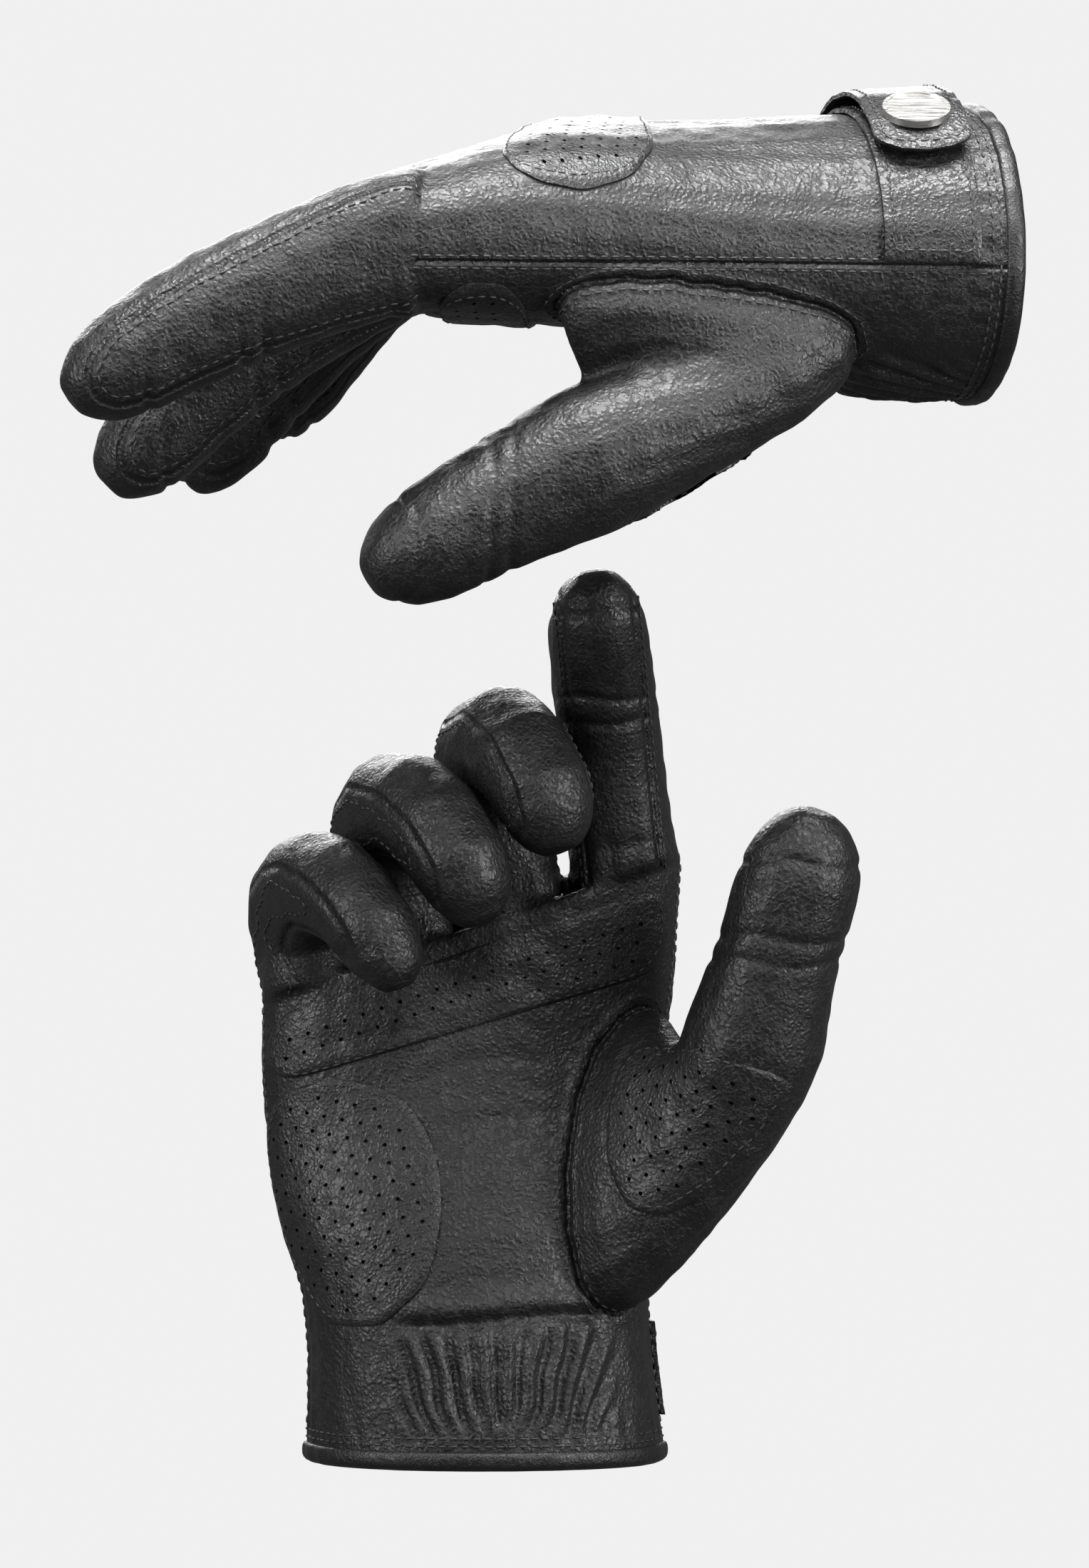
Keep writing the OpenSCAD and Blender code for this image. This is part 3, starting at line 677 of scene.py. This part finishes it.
def grainGroup():
    # pebbled hide: cells of two sizes, broken up by fine creases; its tone output is a painted highlight on the
    # pebble tops and painted shade in the creases
    tree, given, result = newGroup("grain", [("Cells", 950.0), ("Creases", 0.5)], ["Height", "PaintedPebbleHighlight"])
    coords = tree.nodes.new("ShaderNodeTexCoord").outputs["Object"]
    warp = tree.nodes.new("ShaderNodeTexNoise")
    warp.inputs["Scale"].default_value = 420
    tree.links.new(coords, warp.inputs["Vector"])
    moved = tree.nodes.new("ShaderNodeMix")
    moved.data_type = "RGBA"
    moved.blend_type = "LINEAR_LIGHT"
    moved.inputs["Factor"].default_value = 0.0009
    tree.links.new(coords, moved.inputs["A"])
    tree.links.new(warp.outputs["Color"], moved.inputs["B"])
    cells = tree.nodes.new("ShaderNodeTexVoronoi")
    cells.feature = "SMOOTH_F1"
    cells.inputs["Smoothness"].default_value = 0.6
    tree.links.new(given.outputs["Cells"], cells.inputs["Scale"])
    tree.links.new(moved.outputs["Result"], cells.inputs["Vector"])
    pebble = rangeNode(tree, cells.outputs["Distance"], 0.1, 0.75, 1, 0, smooth=True)
    fine = noiseNode(tree, coords, 2600, 3, 0.6)
    lines = noiseNode(tree, coords, 330, 5, 0.62)
    folded = mathNode(tree, "ABSOLUTE", mathNode(tree, "SUBTRACT", lines, 0.5), 0)
    crease = rangeNode(tree, folded, 0.0, 0.035, 0, 1, smooth=True)
    crease = mathNode(tree, "MULTIPLY", crease, given.outputs["Creases"])
    coarse = mathNode(tree, "MULTIPLY", pebble, 0.7)
    height = mathNode(tree, "ADD", coarse, mathNode(tree, "MULTIPLY", fine, 0.25))
    height = mathNode(tree, "ADD", height, crease)
    tree.links.new(height, result.inputs["Height"])
    # painted highlight mask: high on raised pebble tops, zero in the low creases and between cells
    tree.links.new(mathNode(tree, "MULTIPLY", pebble, crease), result.inputs["PaintedPebbleHighlight"])
    return tree


def wearGroup():
    # where the finish has rubbed: broad patches with a soft edge
    tree, given, result = newGroup("wear", [("Amount", 0.5)], ["Mask"])
    coords = tree.nodes.new("ShaderNodeTexCoord").outputs["Object"]
    broad = rangeNode(tree, noiseNode(tree, coords, 26, 4, 0.6), 0.42, 0.72, 0, 1, smooth=True)
    small = rangeNode(tree, noiseNode(tree, coords, 210, 3, 0.6), 0.35, 0.7, 0.35, 1)
    mask = mathNode(tree, "MULTIPLY", mathNode(tree, "MULTIPLY", broad, small), given.outputs["Amount"])
    tree.links.new(mask, result.inputs["Mask"])
    return tree


def seamGroup():
    # the groove along a seam, from the distance each piece carries, and a painted shade line down its middle
    tree, given, result = newGroup("seam", [("Width", 0.9 * mm)], ["Height", "Line"])
    away = tree.nodes.new("ShaderNodeAttribute")
    away.attribute_name = "seamAway"
    share = mathNode(tree, "DIVIDE", away.outputs["Fac"], given.outputs["Width"])
    tree.links.new(rangeNode(tree, share, 0, 1, 0, 1, smooth=True), result.inputs["Height"])
    # painted shade: a mask that is 1 at the seam's centre line, fading out over the groove
    tree.links.new(rangeNode(tree, share, 0.1, 0.6, 1, 0, smooth=True), result.inputs["Line"])
    return tree


groups = {"grain": grainGroup(), "wear": wearGroup(), "seam": seamGroup()}
finishes = {
    "leather": {"dark": (0.0036, 0.0036, 0.0039), "light": (0.012, 0.012, 0.0124), "rough": (0.3, 0.5),
                "cells": 1000.0, "creases": 0.35, "relief": 0.24 * mm, "wear": 0.6, "seams": True},
    "perforated_leather": {"dark": (0.006, 0.006, 0.0063), "light": (0.018, 0.018, 0.0185),
                           "rough": (0.26, 0.44), "cells": 1150.0, "creases": 0.3, "relief": 0.2 * mm,
                           "wear": 0.7, "seams": False},
    "strap_leather": {"dark": (0.005, 0.005, 0.0053), "light": (0.014, 0.014, 0.0146), "rough": (0.28, 0.46),
                      "cells": 1150.0, "creases": 0.5, "relief": 0.22 * mm, "wear": 0.6, "seams": False},
    "binding": {"dark": (0.0035, 0.0035, 0.0037), "light": (0.01, 0.01, 0.0104), "rough": (0.32, 0.5),
                "cells": 1500.0, "creases": 0.4, "relief": 0.12 * mm, "wear": 0.4, "seams": False},
}


def groupNode(tree, name, **values):
    node = tree.nodes.new("ShaderNodeGroup")
    node.node_tree = groups[name]
    for title, value in values.items():
        node.inputs[title].default_value = value
    return node


def mixColour(tree, mask, a, b):
    node = tree.nodes.new("ShaderNodeMix")
    node.data_type = "RGBA"
    for title, value in (("A", a), ("B", b)):
        if isinstance(value, tuple):
            node.inputs[title].default_value = (*value, 1)
        else:
            tree.links.new(value, node.inputs[title])
    tree.links.new(mask, node.inputs["Factor"])
    return node.outputs["Result"]


def bumpNode(tree, height, distance, strength, normal=None):
    node = tree.nodes.new("ShaderNodeBump")
    node.inputs["Distance"].default_value = distance
    node.inputs["Strength"].default_value = strength
    tree.links.new(height, node.inputs["Height"])
    if normal is not None:
        tree.links.new(normal, node.inputs["Normal"])
    return node.outputs["Normal"]


def leatherMaterial(name):
    f = finishes[name]
    material = bpy.data.materials.new(name)
    material.use_nodes = True
    tree = material.node_tree
    skin = tree.nodes["Principled BSDF"]
    grain = groupNode(tree, "grain", Cells=f["cells"], Creases=f["creases"])
    wear = groupNode(tree, "wear", Amount=f["wear"])
    colour = mixColour(tree, wear.outputs["Mask"], f["dark"], f["light"])
    # painted highlight: the colour is lifted towards the lighter shade on the pebble tops and stays dark in the
    # grain's creases
    lit = mathNode(tree, "MULTIPLY", grain.outputs["PaintedPebbleHighlight"], 0.6)
    colour = mixColour(tree, lit, colour, f["light"])
    normal = None
    if f["seams"]:
        seam = groupNode(tree, "seam")
        # painted shade: the colour goes almost black along each seam groove
        colour = mixColour(tree, seam.outputs["Line"], colour, (0.003, 0.003, 0.003))
        normal = bumpNode(tree, seam.outputs["Height"], 0.9 * mm, 0.8)
    normal = bumpNode(tree, grain.outputs["Height"], f["relief"], 0.75, normal)
    tree.links.new(colour, skin.inputs["Base Color"])
    tree.links.new(rangeNode(tree, grain.outputs["PaintedPebbleHighlight"], 0, 0.5, f["rough"][1], f["rough"][0]),
                   skin.inputs["Roughness"])
    tree.links.new(normal, skin.inputs["Normal"])
    skin.inputs["Specular IOR Level"].default_value = 0.55
    return material


def simpleMaterial(name, colour, rough, metal=0.0, cells=0.0, relief=0.0, stretch=(1, 1, 1)):
    material = bpy.data.materials.new(name)
    material.use_nodes = True
    tree = material.node_tree
    skin = tree.nodes["Principled BSDF"]
    skin.inputs["Base Color"].default_value = (*colour, 1)
    skin.inputs["Metallic"].default_value = metal
    coords = tree.nodes.new("ShaderNodeTexCoord").outputs["Object"]
    mapping = tree.nodes.new("ShaderNodeMapping")
    mapping.inputs["Scale"].default_value = stretch
    tree.links.new(coords, mapping.inputs["Vector"])
    fine = noiseNode(tree, mapping.outputs["Vector"], cells, 4, 0.6)
    tree.links.new(rangeNode(tree, fine, 0.3, 0.7, rough[0], rough[1]), skin.inputs["Roughness"])
    tree.links.new(bumpNode(tree, fine, relief, 0.6), skin.inputs["Normal"])
    return material


materials = {name: leatherMaterial(name) for name in finishes}
materials["thread"] = simpleMaterial("thread", (0.028, 0.028, 0.03), (0.45, 0.6), cells=3000.0,
                                     relief=0.05 * mm)
materials["stud_metal"] = simpleMaterial("stud_metal", (0.72, 0.71, 0.69), (0.22, 0.42), metal=1.0, cells=900.0,
                                         relief=0.03 * mm, stretch=(0.12, 2.4, 2.4))
materials["elastic"] = simpleMaterial("elastic", (0.012, 0.012, 0.013), (0.7, 0.9), cells=1600.0,
                                      relief=0.2 * mm)


def paint(obj, name):
    obj.data.materials.clear()
    obj.data.materials.append(materials[name])


for side in sides:
    for obj in list(pieces[side].values()) + [linings[side]]:
        paint(obj, "leather")


# ---- sewn rows, one mesh a part
rows = {side: {part: [] for part in ("hand",) + fingers + ("thumb", "tab")} for side in sides}


def sew(side, part):
    paths = rows[side][part]
    if not paths:
        return None
    mesh = bpy.data.meshes.new("path")
    points, edges = [], []
    for path in paths:
        first = len(points)
        points.extend(tuple(p) for p in path)
        edges.extend((first + i, first + i + 1) for i in range(len(path) - 1))
    mesh.from_pydata(points, edges, [])
    path = bpy.data.objects.new("path", mesh)
    bpy.context.scene.collection.objects.link(path)
    modifier = path.modifiers.new("sewing", "NODES")
    modifier.node_group = sewing
    for item in sewing.interface.items_tree:
        if item.name == "Thread":
            modifier[item.identifier] = materials["thread"]
    graph = bpy.context.evaluated_depsgraph_get()
    sewn = bpy.data.meshes.new_from_object(path.evaluated_get(graph))
    bpy.data.objects.remove(path)
    obj = bpy.data.objects.new(side + "_" + part + "_stitches", sewn)
    bpy.context.scene.collection.objects.link(obj)
    return obj


seamStitches = {"beside": 1.4 * mm, "hem": (5.2 * mm, 7.0 * mm), "lift": 0.08 * mm}


def skinRows(side):
    s = skins[side]
    lifted = s["points"] + s["normals"] * seamStitches["lift"]
    owner, parts = s["owner"], s["parts"]
    x, y, z = s["hand"].T
    onHand = owner == parts.index("hand")
    onThumb = owner == parts.index("thumb")
    found = rows[side]
    for level in seamStitches["hem"]:
        found["hand"] += isoLines(lifted, s["quads"], z, level, onHand)
    for level in (seamStitches["beside"], -seamStitches["beside"]):
        found["hand"] += isoLines(lifted, s["quads"], y, level, onHand & (x > 0) & (z > 9 * mm))
        found["hand"] += isoLines(lifted, s["quads"], y, level, onHand & (x < 0) & (z > 9 * mm))
    for part, mask in (("hand", onHand), ("thumb", onThumb)):
        for line in isoLines(lifted, s["quads"], s["thumbSeam"], 2.1 * mm, mask):
            for _ in range(8):
                line[1:-1] = (line[:-2] + 2 * line[1:-1] + line[2:]) / 4
            found[part].append(line)
    for finger in fingers:
        mine = owner == parts.index(finger)
        f = frames[side][finger]
        u = (s["points"] - f["pos"]) @ f["axis"]
        half = np.abs(u[mine]).max()
        for way in (-1, 1):
            level = shaping["seamOut"] * half + seamStitches["beside"]
            found[finger] += isoLines(lifted, s["quads"], u * way, level, mine)


for side in sides:
    skinRows(side)
print("seam rows found")


# ---- perforated patches, laid over the skin where the frame has them
patchSizes = {"thick": 0.95 * mm, "edge": 0.5 * mm, "pitch": 4.5 * mm, "hole": 0.5 * mm, "margin": 3.4 * mm,
              "stitchIn": 1.5 * mm, "mesh": 1.5 * mm}


def treeOf(points, faces):
    return BVHTree.FromPolygons([Vector(p) for p in points], [tuple(f) for f in faces])


skinTrees = {side: treeOf(skins[side]["points"], skins[side]["quads"].tolist()) for side in sides}


def cross2(a, b):
    return a[..., 0] * b[..., 1] - a[..., 1] * b[..., 0]


def hull2(points):
    points = sorted(set(map(tuple, np.round(points, 7))))
    chain = []
    for group in (points, points[::-1]):
        part = []
        for p in group:
            while len(part) > 1 and cross2(np.subtract(part[-1], part[-2]), np.subtract(p, part[-2])) <= 0:
                part.pop()
            part.append(p)
        chain += part[:-1]
    return np.array(chain)


def evenLoop(points, step):
    closed = np.vstack([points, points[:1]])
    length = np.concatenate([[0], np.cumsum(np.linalg.norm(np.diff(closed, axis=0), axis=1))])
    count = max(int(length[-1] / step), 12)
    at = np.linspace(0, length[-1], count, endpoint=False)
    return np.stack([np.interp(at, length, closed[:, k]) for k in range(2)], 1)


def edgeDistance(points, loop):
    a = loop[None]
    b = np.roll(loop, -1, axis=0)[None]
    p = points[:, None]
    t = np.clip(((p - a) * (b - a)).sum(-1) / ((b - a) ** 2).sum(-1), 0, 1)
    away = np.linalg.norm(p - a - (b - a) * t[..., None], axis=-1).min(axis=1)
    side = (cross2(b - a, p - a) > 0).all(axis=1)
    return np.where(side, away, -away)


def makePatch(side, node, part):
    name = side + "_" + node
    points, triangles = nodeTriangles(name)
    points = points.astype(float)
    centre = points.mean(0)
    _, _, axes = np.linalg.svd(points - centre, full_matrices=False)
    u, v = axes[0], axes[1]
    normal = np.cross(u, v)
    reference = centre - (hands[side]["origin"] + hands[side]["axes"][2] * toHand(side, centre)[2])
    if part == "thumb":
        thumbPoints = skins[side]["points"][skins[side]["owner"] == skins[side]["parts"].index("thumb")]
        near = thumbPoints[np.argsort(np.linalg.norm(thumbPoints - centre, axis=1))[:3000]]
        reference = centre - near.mean(0)
    if normal @ reference < 0:
        normal, v = -normal, -v
    flat = np.stack([(points - centre) @ u, (points - centre) @ v], 1)
    loop = evenLoop(hull2(flat), 1.2 * mm)
    for _ in range(10):
        loop = (np.roll(loop, 1, axis=0) + 2 * loop + np.roll(loop, -1, axis=0)) / 4
    loop = evenLoop(loop, 0.8 * mm)
    low, high = loop.min(0), loop.max(0)
    pitch = patchSizes["pitch"]
    holes = []
    for r in range(int((high[1] - low[1]) / (pitch * 0.86)) + 2):
        for c in range(int((high[0] - low[0]) / pitch) + 2):
            holes.append((low[0] + (c + 0.5 * (r % 2)) * pitch, low[1] + r * pitch * 0.86))
    holes = np.array(holes)
    holes = holes[edgeDistance(holes, loop) > patchSizes["margin"]]
    ring = np.linspace(0, 2 * np.pi, 9)[:-1]
    circle = np.stack([np.cos(ring), np.sin(ring)], 1) * patchSizes["hole"]
    step = patchSizes["mesh"]
    gx, gy = np.meshgrid(np.arange(low[0], high[0], step), np.arange(low[1], high[1], step))
    inner = np.stack([gx.ravel() + 0.2 * mm, gy.ravel()], 1)
    inner = inner[edgeDistance(inner, loop) > 0.8 * mm]
    gap = np.linalg.norm(inner[:, None] - holes[None], axis=-1).min(axis=1)
    inner = inner[gap > patchSizes["hole"] + 0.35 * mm]
    rim = evenLoop(loop * (1 - 0.7 * mm / np.linalg.norm(loop, axis=1))[:, None], 0.9 * mm)
    verts = [Vector(p) for p in loop]
    edges = [(i, (i + 1) % len(loop)) for i in range(len(loop))]
    for hole in holes:
        first = len(verts)
        verts += [Vector(hole + c) for c in circle]
        edges += [(first + i, first + (i + 1) % 8) for i in range(8)]
    verts += [Vector(p) for p in inner] + [Vector(p) for p in rim]
    out = delaunay_2d_cdt(verts, edges, [], 1, 1e-7)
    flat2 = np.array([tuple(p) for p in out[0]])
    faces = []
    for f in out[2]:
        middle = flat2[list(f)].mean(0)
        if np.linalg.norm(holes - middle, axis=1).min() > patchSizes["hole"] * 0.9:
            faces.append(tuple(f))
    used = sorted({i for f in faces for i in f})
    renumber = {old: new for new, old in enumerate(used)}
    flat2 = flat2[used]
    faces = [tuple(renumber[i] for i in f) for f in faces]
    own = treeOf(points, triangles.tolist())
    skin = skinTrees[side]
    spots, lifts = [], []
    for q in flat2:
        base = Vector(centre + u * q[0] + v * q[1])
        towards = Vector(-normal)
        hit = own.ray_cast(base - towards * 30 * mm, towards)[0] or own.find_nearest(base)[0]
        spot, up, _, _ = skin.ray_cast(hit - towards * 0.7 * mm, towards, 7 * mm)
        if spot is None:
            spot, up, _, _ = skin.find_nearest(hit)
        spots.append(spot)
        lifts.append(up)
    spots = np.array([tuple(p) for p in spots])
    lifts = np.array([tuple(p) for p in lifts])
    # the skin's facets are evened out under the patch
    links = np.array([(f[i], f[(i + 1) % len(f)]) for f in faces for i in range(len(f))])
    for _ in range(12):
        total = np.zeros_like(lifts)
        np.add.at(total, links[:, 0], lifts[links[:, 1]])
        np.add.at(total, links[:, 1], lifts[links[:, 0]])
        lifts = lifts + total
        lifts /= np.linalg.norm(lifts, axis=1)[:, None]
    away = np.clip(edgeDistance(flat2, loop), 0, None)
    low, high = patchSizes["edge"], patchSizes["thick"]
    rise = low + (high - low) * np.sqrt(np.clip(away / (0.9 * mm), 0, 1))
    top = spots + lifts * rise[:, None]
    bottom = spots - lifts * 0.15 * mm
    n = len(top)
    count = {}
    for f in faces:
        for i in range(len(f)):
            count[(f[i], f[(i + 1) % len(f)])] = 1
    walls = [(a, b) for (a, b) in count if (b, a) not in count]
    mesh = bpy.data.meshes.new(name + "_leather")
    allFaces = list(faces) + [tuple(n + i for i in reversed(f)) for f in faces]
    allFaces += [(b, a, a + n, b + n) for a, b in walls]
    mesh.from_pydata([tuple(p) for p in np.vstack([top, bottom])], [], allFaces)
    mesh.update()
    bm = bmesh.new()
    bm.from_mesh(mesh)
    bmesh.ops.recalc_face_normals(bm, faces=bm.faces)
    bm.to_mesh(mesh)
    bm.free()
    mesh.polygons.foreach_set("use_smooth", np.ones(len(mesh.polygons), bool))
    mesh.set_sharp_from_angle(angle=math.radians(50))
    obj = bpy.data.objects.new(name + "_leather", mesh)
    bpy.context.scene.collection.objects.link(obj)
    paint(obj, "perforated_leather")
    attach(obj, side, part)
    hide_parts(name)
    # its sewn row, a little inside the edge
    path = []
    inwards = loop * (1 - patchSizes["stitchIn"] / np.linalg.norm(loop, axis=1))[:, None]
    topTree = treeOf(top, faces)
    for q in np.vstack([inwards, inwards[:1]]):
        base = Vector(centre + u * q[0] + v * q[1])
        hit = topTree.ray_cast(base + Vector(normal) * 30 * mm, Vector(-normal))[0]
        hit = hit or topTree.find_nearest(base)[0]
        path.append(np.array(hit))
    rows[side][part].append(np.array(path))
    return obj


patchParts = {"heel_patch": "hand", "finger_bar_patch": "hand", "knuckle_patch": "hand", "thumb_patch": "thumb"}
patches = {side: {n: makePatch(side, n, part) for n, part in patchParts.items()} for side in sides}
print("patches laid:", sum(len(o.data.polygons) for d in patches.values() for o in d.values()), "faces")


# ---- strap, tab and cuff binding, laid round the wrist
strapSizes = {"thick": 1.3 * mm, "band": 0.5 * mm, "pillow": 0.35 * mm, "round": 8.0, "tabLow": 2.1 * mm,
              "stitchAt": 0.82}


def roundTheHand(side, turn, z, out):
    # a point out from the skin at a polar angle in degrees
    direction = np.array([math.cos(math.radians(turn)), math.sin(math.radians(turn)), 0.0])
    far = fromHand(side, direction * 70 * mm + np.array([0, 0, z]))
    towards = -(direction @ hands[side]["axes"])
    hit = skinTrees[side].ray_cast(Vector(far), Vector(towards))[0]
    return np.array(hit) - towards * out


def polarSpan(side, node):
    h = toHand(side, nodeTriangles(side + "_" + node)[0].astype(float))
    turns = np.degrees(np.arctan2(h[:, 1], h[:, 0]))
    return turns.min(), turns.max(), h[:, 2].min(), h[:, 2].max()


def gridSolid(name, top, bottom):
    # top and bottom are grids of points, joined round their edges
    m, n = top.shape[:2]
    points = np.vstack([top.reshape(-1, 3), bottom.reshape(-1, 3)])

    def at(i, j, low=0):
        return low * m * n + i * n + j
    faces = []
    for i in range(m - 1):
        for j in range(n - 1):
            faces.append((at(i, j), at(i, j + 1), at(i + 1, j + 1), at(i + 1, j)))
            faces.append((at(i, j, 1), at(i + 1, j, 1), at(i + 1, j + 1, 1), at(i, j + 1, 1)))
    for i in range(m - 1):
        faces.append((at(i, 0), at(i + 1, 0), at(i + 1, 0, 1), at(i, 0, 1)))
        faces.append((at(i, n - 1), at(i, n - 1, 1), at(i + 1, n - 1, 1), at(i + 1, n - 1)))
    for j in range(n - 1):
        faces.append((at(0, j), at(0, j, 1), at(0, j + 1, 1), at(0, j + 1)))
        faces.append((at(m - 1, j), at(m - 1, j + 1), at(m - 1, j + 1, 1), at(m - 1, j, 1)))
    mesh = bpy.data.meshes.new(name)
    mesh.from_pydata([tuple(p) for p in points], [], faces)
    bm = bmesh.new()
    bm.from_mesh(mesh)
    bmesh.ops.recalc_face_normals(bm, faces=bm.faces)
    bm.to_mesh(mesh)
    bm.free()
    mesh.polygons.foreach_set("use_smooth", np.ones(len(mesh.polygons), bool))
    mesh.set_sharp_from_angle(angle=math.radians(48))
    obj = bpy.data.objects.new(name, mesh)
    bpy.context.scene.collection.objects.link(obj)
    return obj


def makeStrip(side, name, turns, zs, outAt, rounded):
    thick, pillow = strapSizes["thick"], strapSizes["pillow"]
    ks = np.array([-1, -0.97, -0.9, -0.8, -0.5, 0, 0.5, 0.8, 0.9, 0.97, 1])
    count = 70
    z0, halfWide = (zs[0] + zs[1]) / 2, (zs[1] - zs[0]) / 2

    def spot(t, k, lift):
        start = turns[0] + rounded * (1 - math.sqrt(max(1 - k * k, 0)))
        turn = start + t * (turns[1] - start)
        edge = max(abs(k), 1 - 2 * min(t, 1 - t) * 6 if t < 0.08 or t > 0.92 else 0)
        drop = pillow * max(0, (edge - 0.8) / 0.2) ** 2
        return roundTheHand(side, turn, z0 + k * halfWide, outAt(turn) + lift - (drop if lift > 0 else 0))

    ts = np.linspace(0, 1, count)
    ts = np.unique(np.concatenate([ts, [0.004, 0.996]]))
    top = np.array([[spot(t, k, thick) for k in ks] for t in ts])
    bottom = np.array([[spot(t, k, 0) for k in ks] for t in ts])
    obj = gridSolid(side + "_" + name + "_leather", top, bottom)
    paint(obj, "strap_leather")
    k = strapSizes["stitchAt"]
    tips = [0.028, 0.972]
    way = [(t, -k) for t in np.linspace(tips[1], tips[0], 50)]
    way += [(tips[0], q) for q in np.linspace(-k, k, 16)[1:-1]]
    way += [(t, k) for t in np.linspace(tips[0], tips[1], 50)]
    return obj, np.array([spot(t, q, thick + 0.06 * mm) for t, q in way])


def makeStrap(side):
    band = polarSpan(side, "strap_band")
    tab = polarSpan(side, "strap_tab")
    end = polarSpan(side, "tab_end")
    stud = toHand(side, np.array(sum(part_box(side + "_snap_cap"), Vector()) / 2))
    studTurn = math.degrees(math.atan2(stud[1], stud[0]))
    cadOut = 4.75 * mm
    obj, path = makeStrip(side, "strap_band", band[:2], band[2:], lambda turn: strapSizes["band"], 0)
    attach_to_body(obj, side + "_hand")
    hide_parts(side + "_strap_band")
    rows[side]["hand"].append(path)

    def tabOut(turn):
        # flat on the band at its sewn end, and over the stud at its free end
        share = min(max((end[1] - turn) / (end[1] - studTurn - 14), 0), 1)
        rise = share * share * (3 - 2 * share)
        return strapSizes["tabLow"] + (cadOut - strapSizes["tabLow"]) * rise

    obj, path = makeStrip(side, "strap_tab", (tab[0], end[1]), tab[2:], tabOut, strapSizes["round"])
    hinge = joints[side + "_tab_lift"]
    pos = np.array(hinge["pos_m"], float)
    middle = np.array(sum(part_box(side + "_strap_tab"), Vector()) / 2)
    away = (middle - pos) - (middle - pos) @ np.array(hinge["axis"]) * np.array(hinge["axis"])
    away /= np.linalg.norm(away)
    bend = (pos - away * 2 * mm, pos + away * 6 * mm)
    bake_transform(obj)
    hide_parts(side + "_strap_tab", side + "_tab_end")
    rows[side]["tab"].append(path)
    return bend


tabBends = {side: makeStrap(side) for side in sides}


def makeBinding(side):
    section = [(0.1, 3.9), (0.75, 3.75), (1.05, 3.1), (1.15, 2.2), (1.1, 1.1), (0.8, 0.3), (0.2, -0.3),
               (-0.5, -0.55),
               (-1.2, -0.45), (-1.8, 0.0), (-2.15, 0.8), (-2.25, 2.0), (-2.1, 3.2), (-1.6, 3.8), (-0.7, 3.9)]
    turns = 180
    points = []
    for i in range(turns):
        turn = 360 * i / turns
        base = toHand(side, roundTheHand(side, turn, 4.2 * mm, 0))
        out = np.array([base[0] / 41.5 ** 2, base[1] / 33.0 ** 2, 0])
        out /= np.linalg.norm(out)
        for r, z in section:
            points.append(fromHand(side, np.array([base[0], base[1], z * mm]) + out * r * mm))
    n = len(section)
    faces = [(i * n + k, i * n + (k + 1) % n, ((i + 1) % turns) * n + (k + 1) % n, ((i + 1) % turns) * n + k)
             for i in range(turns) for k in range(n)]
    obj = plainMesh(side + "_cuff_binding_leather", points, faces)
    bm = bmesh.new()
    bm.from_mesh(obj.data)
    bmesh.ops.recalc_face_normals(bm, faces=bm.faces)
    bm.to_mesh(obj.data)
    bm.free()
    paint(obj, "binding")
    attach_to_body(obj, side + "_hand")
    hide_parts(side + "_cuff_binding")


for side in sides:
    makeBinding(side)

# the frame's own small metal parts and the elastic keep their shape
for side in sides:
    for node in ("snap_cap", "snap_socket", "snap_stud", "snap_post", "wrist_elastic"):
        name = "elastic" if node == "wrist_elastic" else "stud_metal"
        paint(frame["nodes"][side + "_" + node], name)
    for part in rows[side]:
        obj = sew(side, part)
        if obj is None:
            continue
        if part == "tab":
            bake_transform(obj)
        else:
            attach(obj, side, part)
print("sewn")


studio = {"pale": (0.871, 0.871, 0.871), "fill": 0.16, "wall": 4.0, "floor": -1.2 * mm}


def areaLamp(name, energy, size, place, aim):
    data = bpy.data.lights.new(name, "AREA")
    data.energy = energy
    data.shape = "RECTANGLE"
    data.size, data.size_y = size
    lamp = bpy.data.objects.new(name, data)
    bpy.context.scene.collection.objects.link(lamp)
    lamp.location = place
    lamp.rotation_euler = (Vector(aim) - Vector(place)).to_track_quat("-Z", "Y").to_euler()


def makeStudio():
    world = bpy.data.worlds.new("studio")
    bpy.context.scene.world = world
    world.use_nodes = True
    back = world.node_tree.nodes["Background"]
    back.inputs["Color"].default_value = (*studio["pale"], 1)
    back.inputs["Strength"].default_value = studio["fill"]
    pale = bpy.data.materials.new("backdrop")
    pale.use_nodes = True
    paper = pale.node_tree.nodes["Principled BSDF"]
    paper.inputs["Base Color"].default_value = (0, 0, 0, 1)
    paper.inputs["Specular IOR Level"].default_value = 0
    paper.inputs["Emission Color"].default_value = (*studio["pale"], 1)
    paper.inputs["Emission Strength"].default_value = 1
    wall, low = studio["wall"], studio["floor"]
    corners = [(-wall, -wall), (wall, -wall), (wall, wall), (-wall, wall)]
    tall = [(x, y, low) for x, y in corners] + [(x, y, wall) for x, y in corners]
    backdrop = plainMesh("backdrop", tall, [(i, (i + 1) % 4, 4 + (i + 1) % 4, 4 + i) for i in range(4)], False)
    floor = plainMesh("floor", tall[:4], [(0, 1, 2, 3)], False)
    for obj in (backdrop, floor):
        obj.data.materials.append(pale)
        obj.visible_glossy = False
        obj.visible_diffuse = False
    areaLamp("over", 34, (0.8, 0.5), (0.05, -0.25, 1.15), (0.03, -0.02, 0.2))
    areaLamp("from the right", 15, (0.25, 0.9), (1.1, -0.7, 0.4), (0.03, 0, 0.12))
    areaLamp("from the left", 11, (0.25, 0.9), (-1.1, -0.7, 0.5), (0, 0, 0.12))
    areaLamp("high front", 8, (0.4, 0.3), (0.15, -1.3, 0.95), (0, 0, 0.1))
    areaLamp("behind", 16, (1.0, 0.4), (-0.2, 1.2, 0.8), (0.03, 0, 0.15))
    bpy.context.scene.view_settings.view_transform = "Standard"


makeStudio()
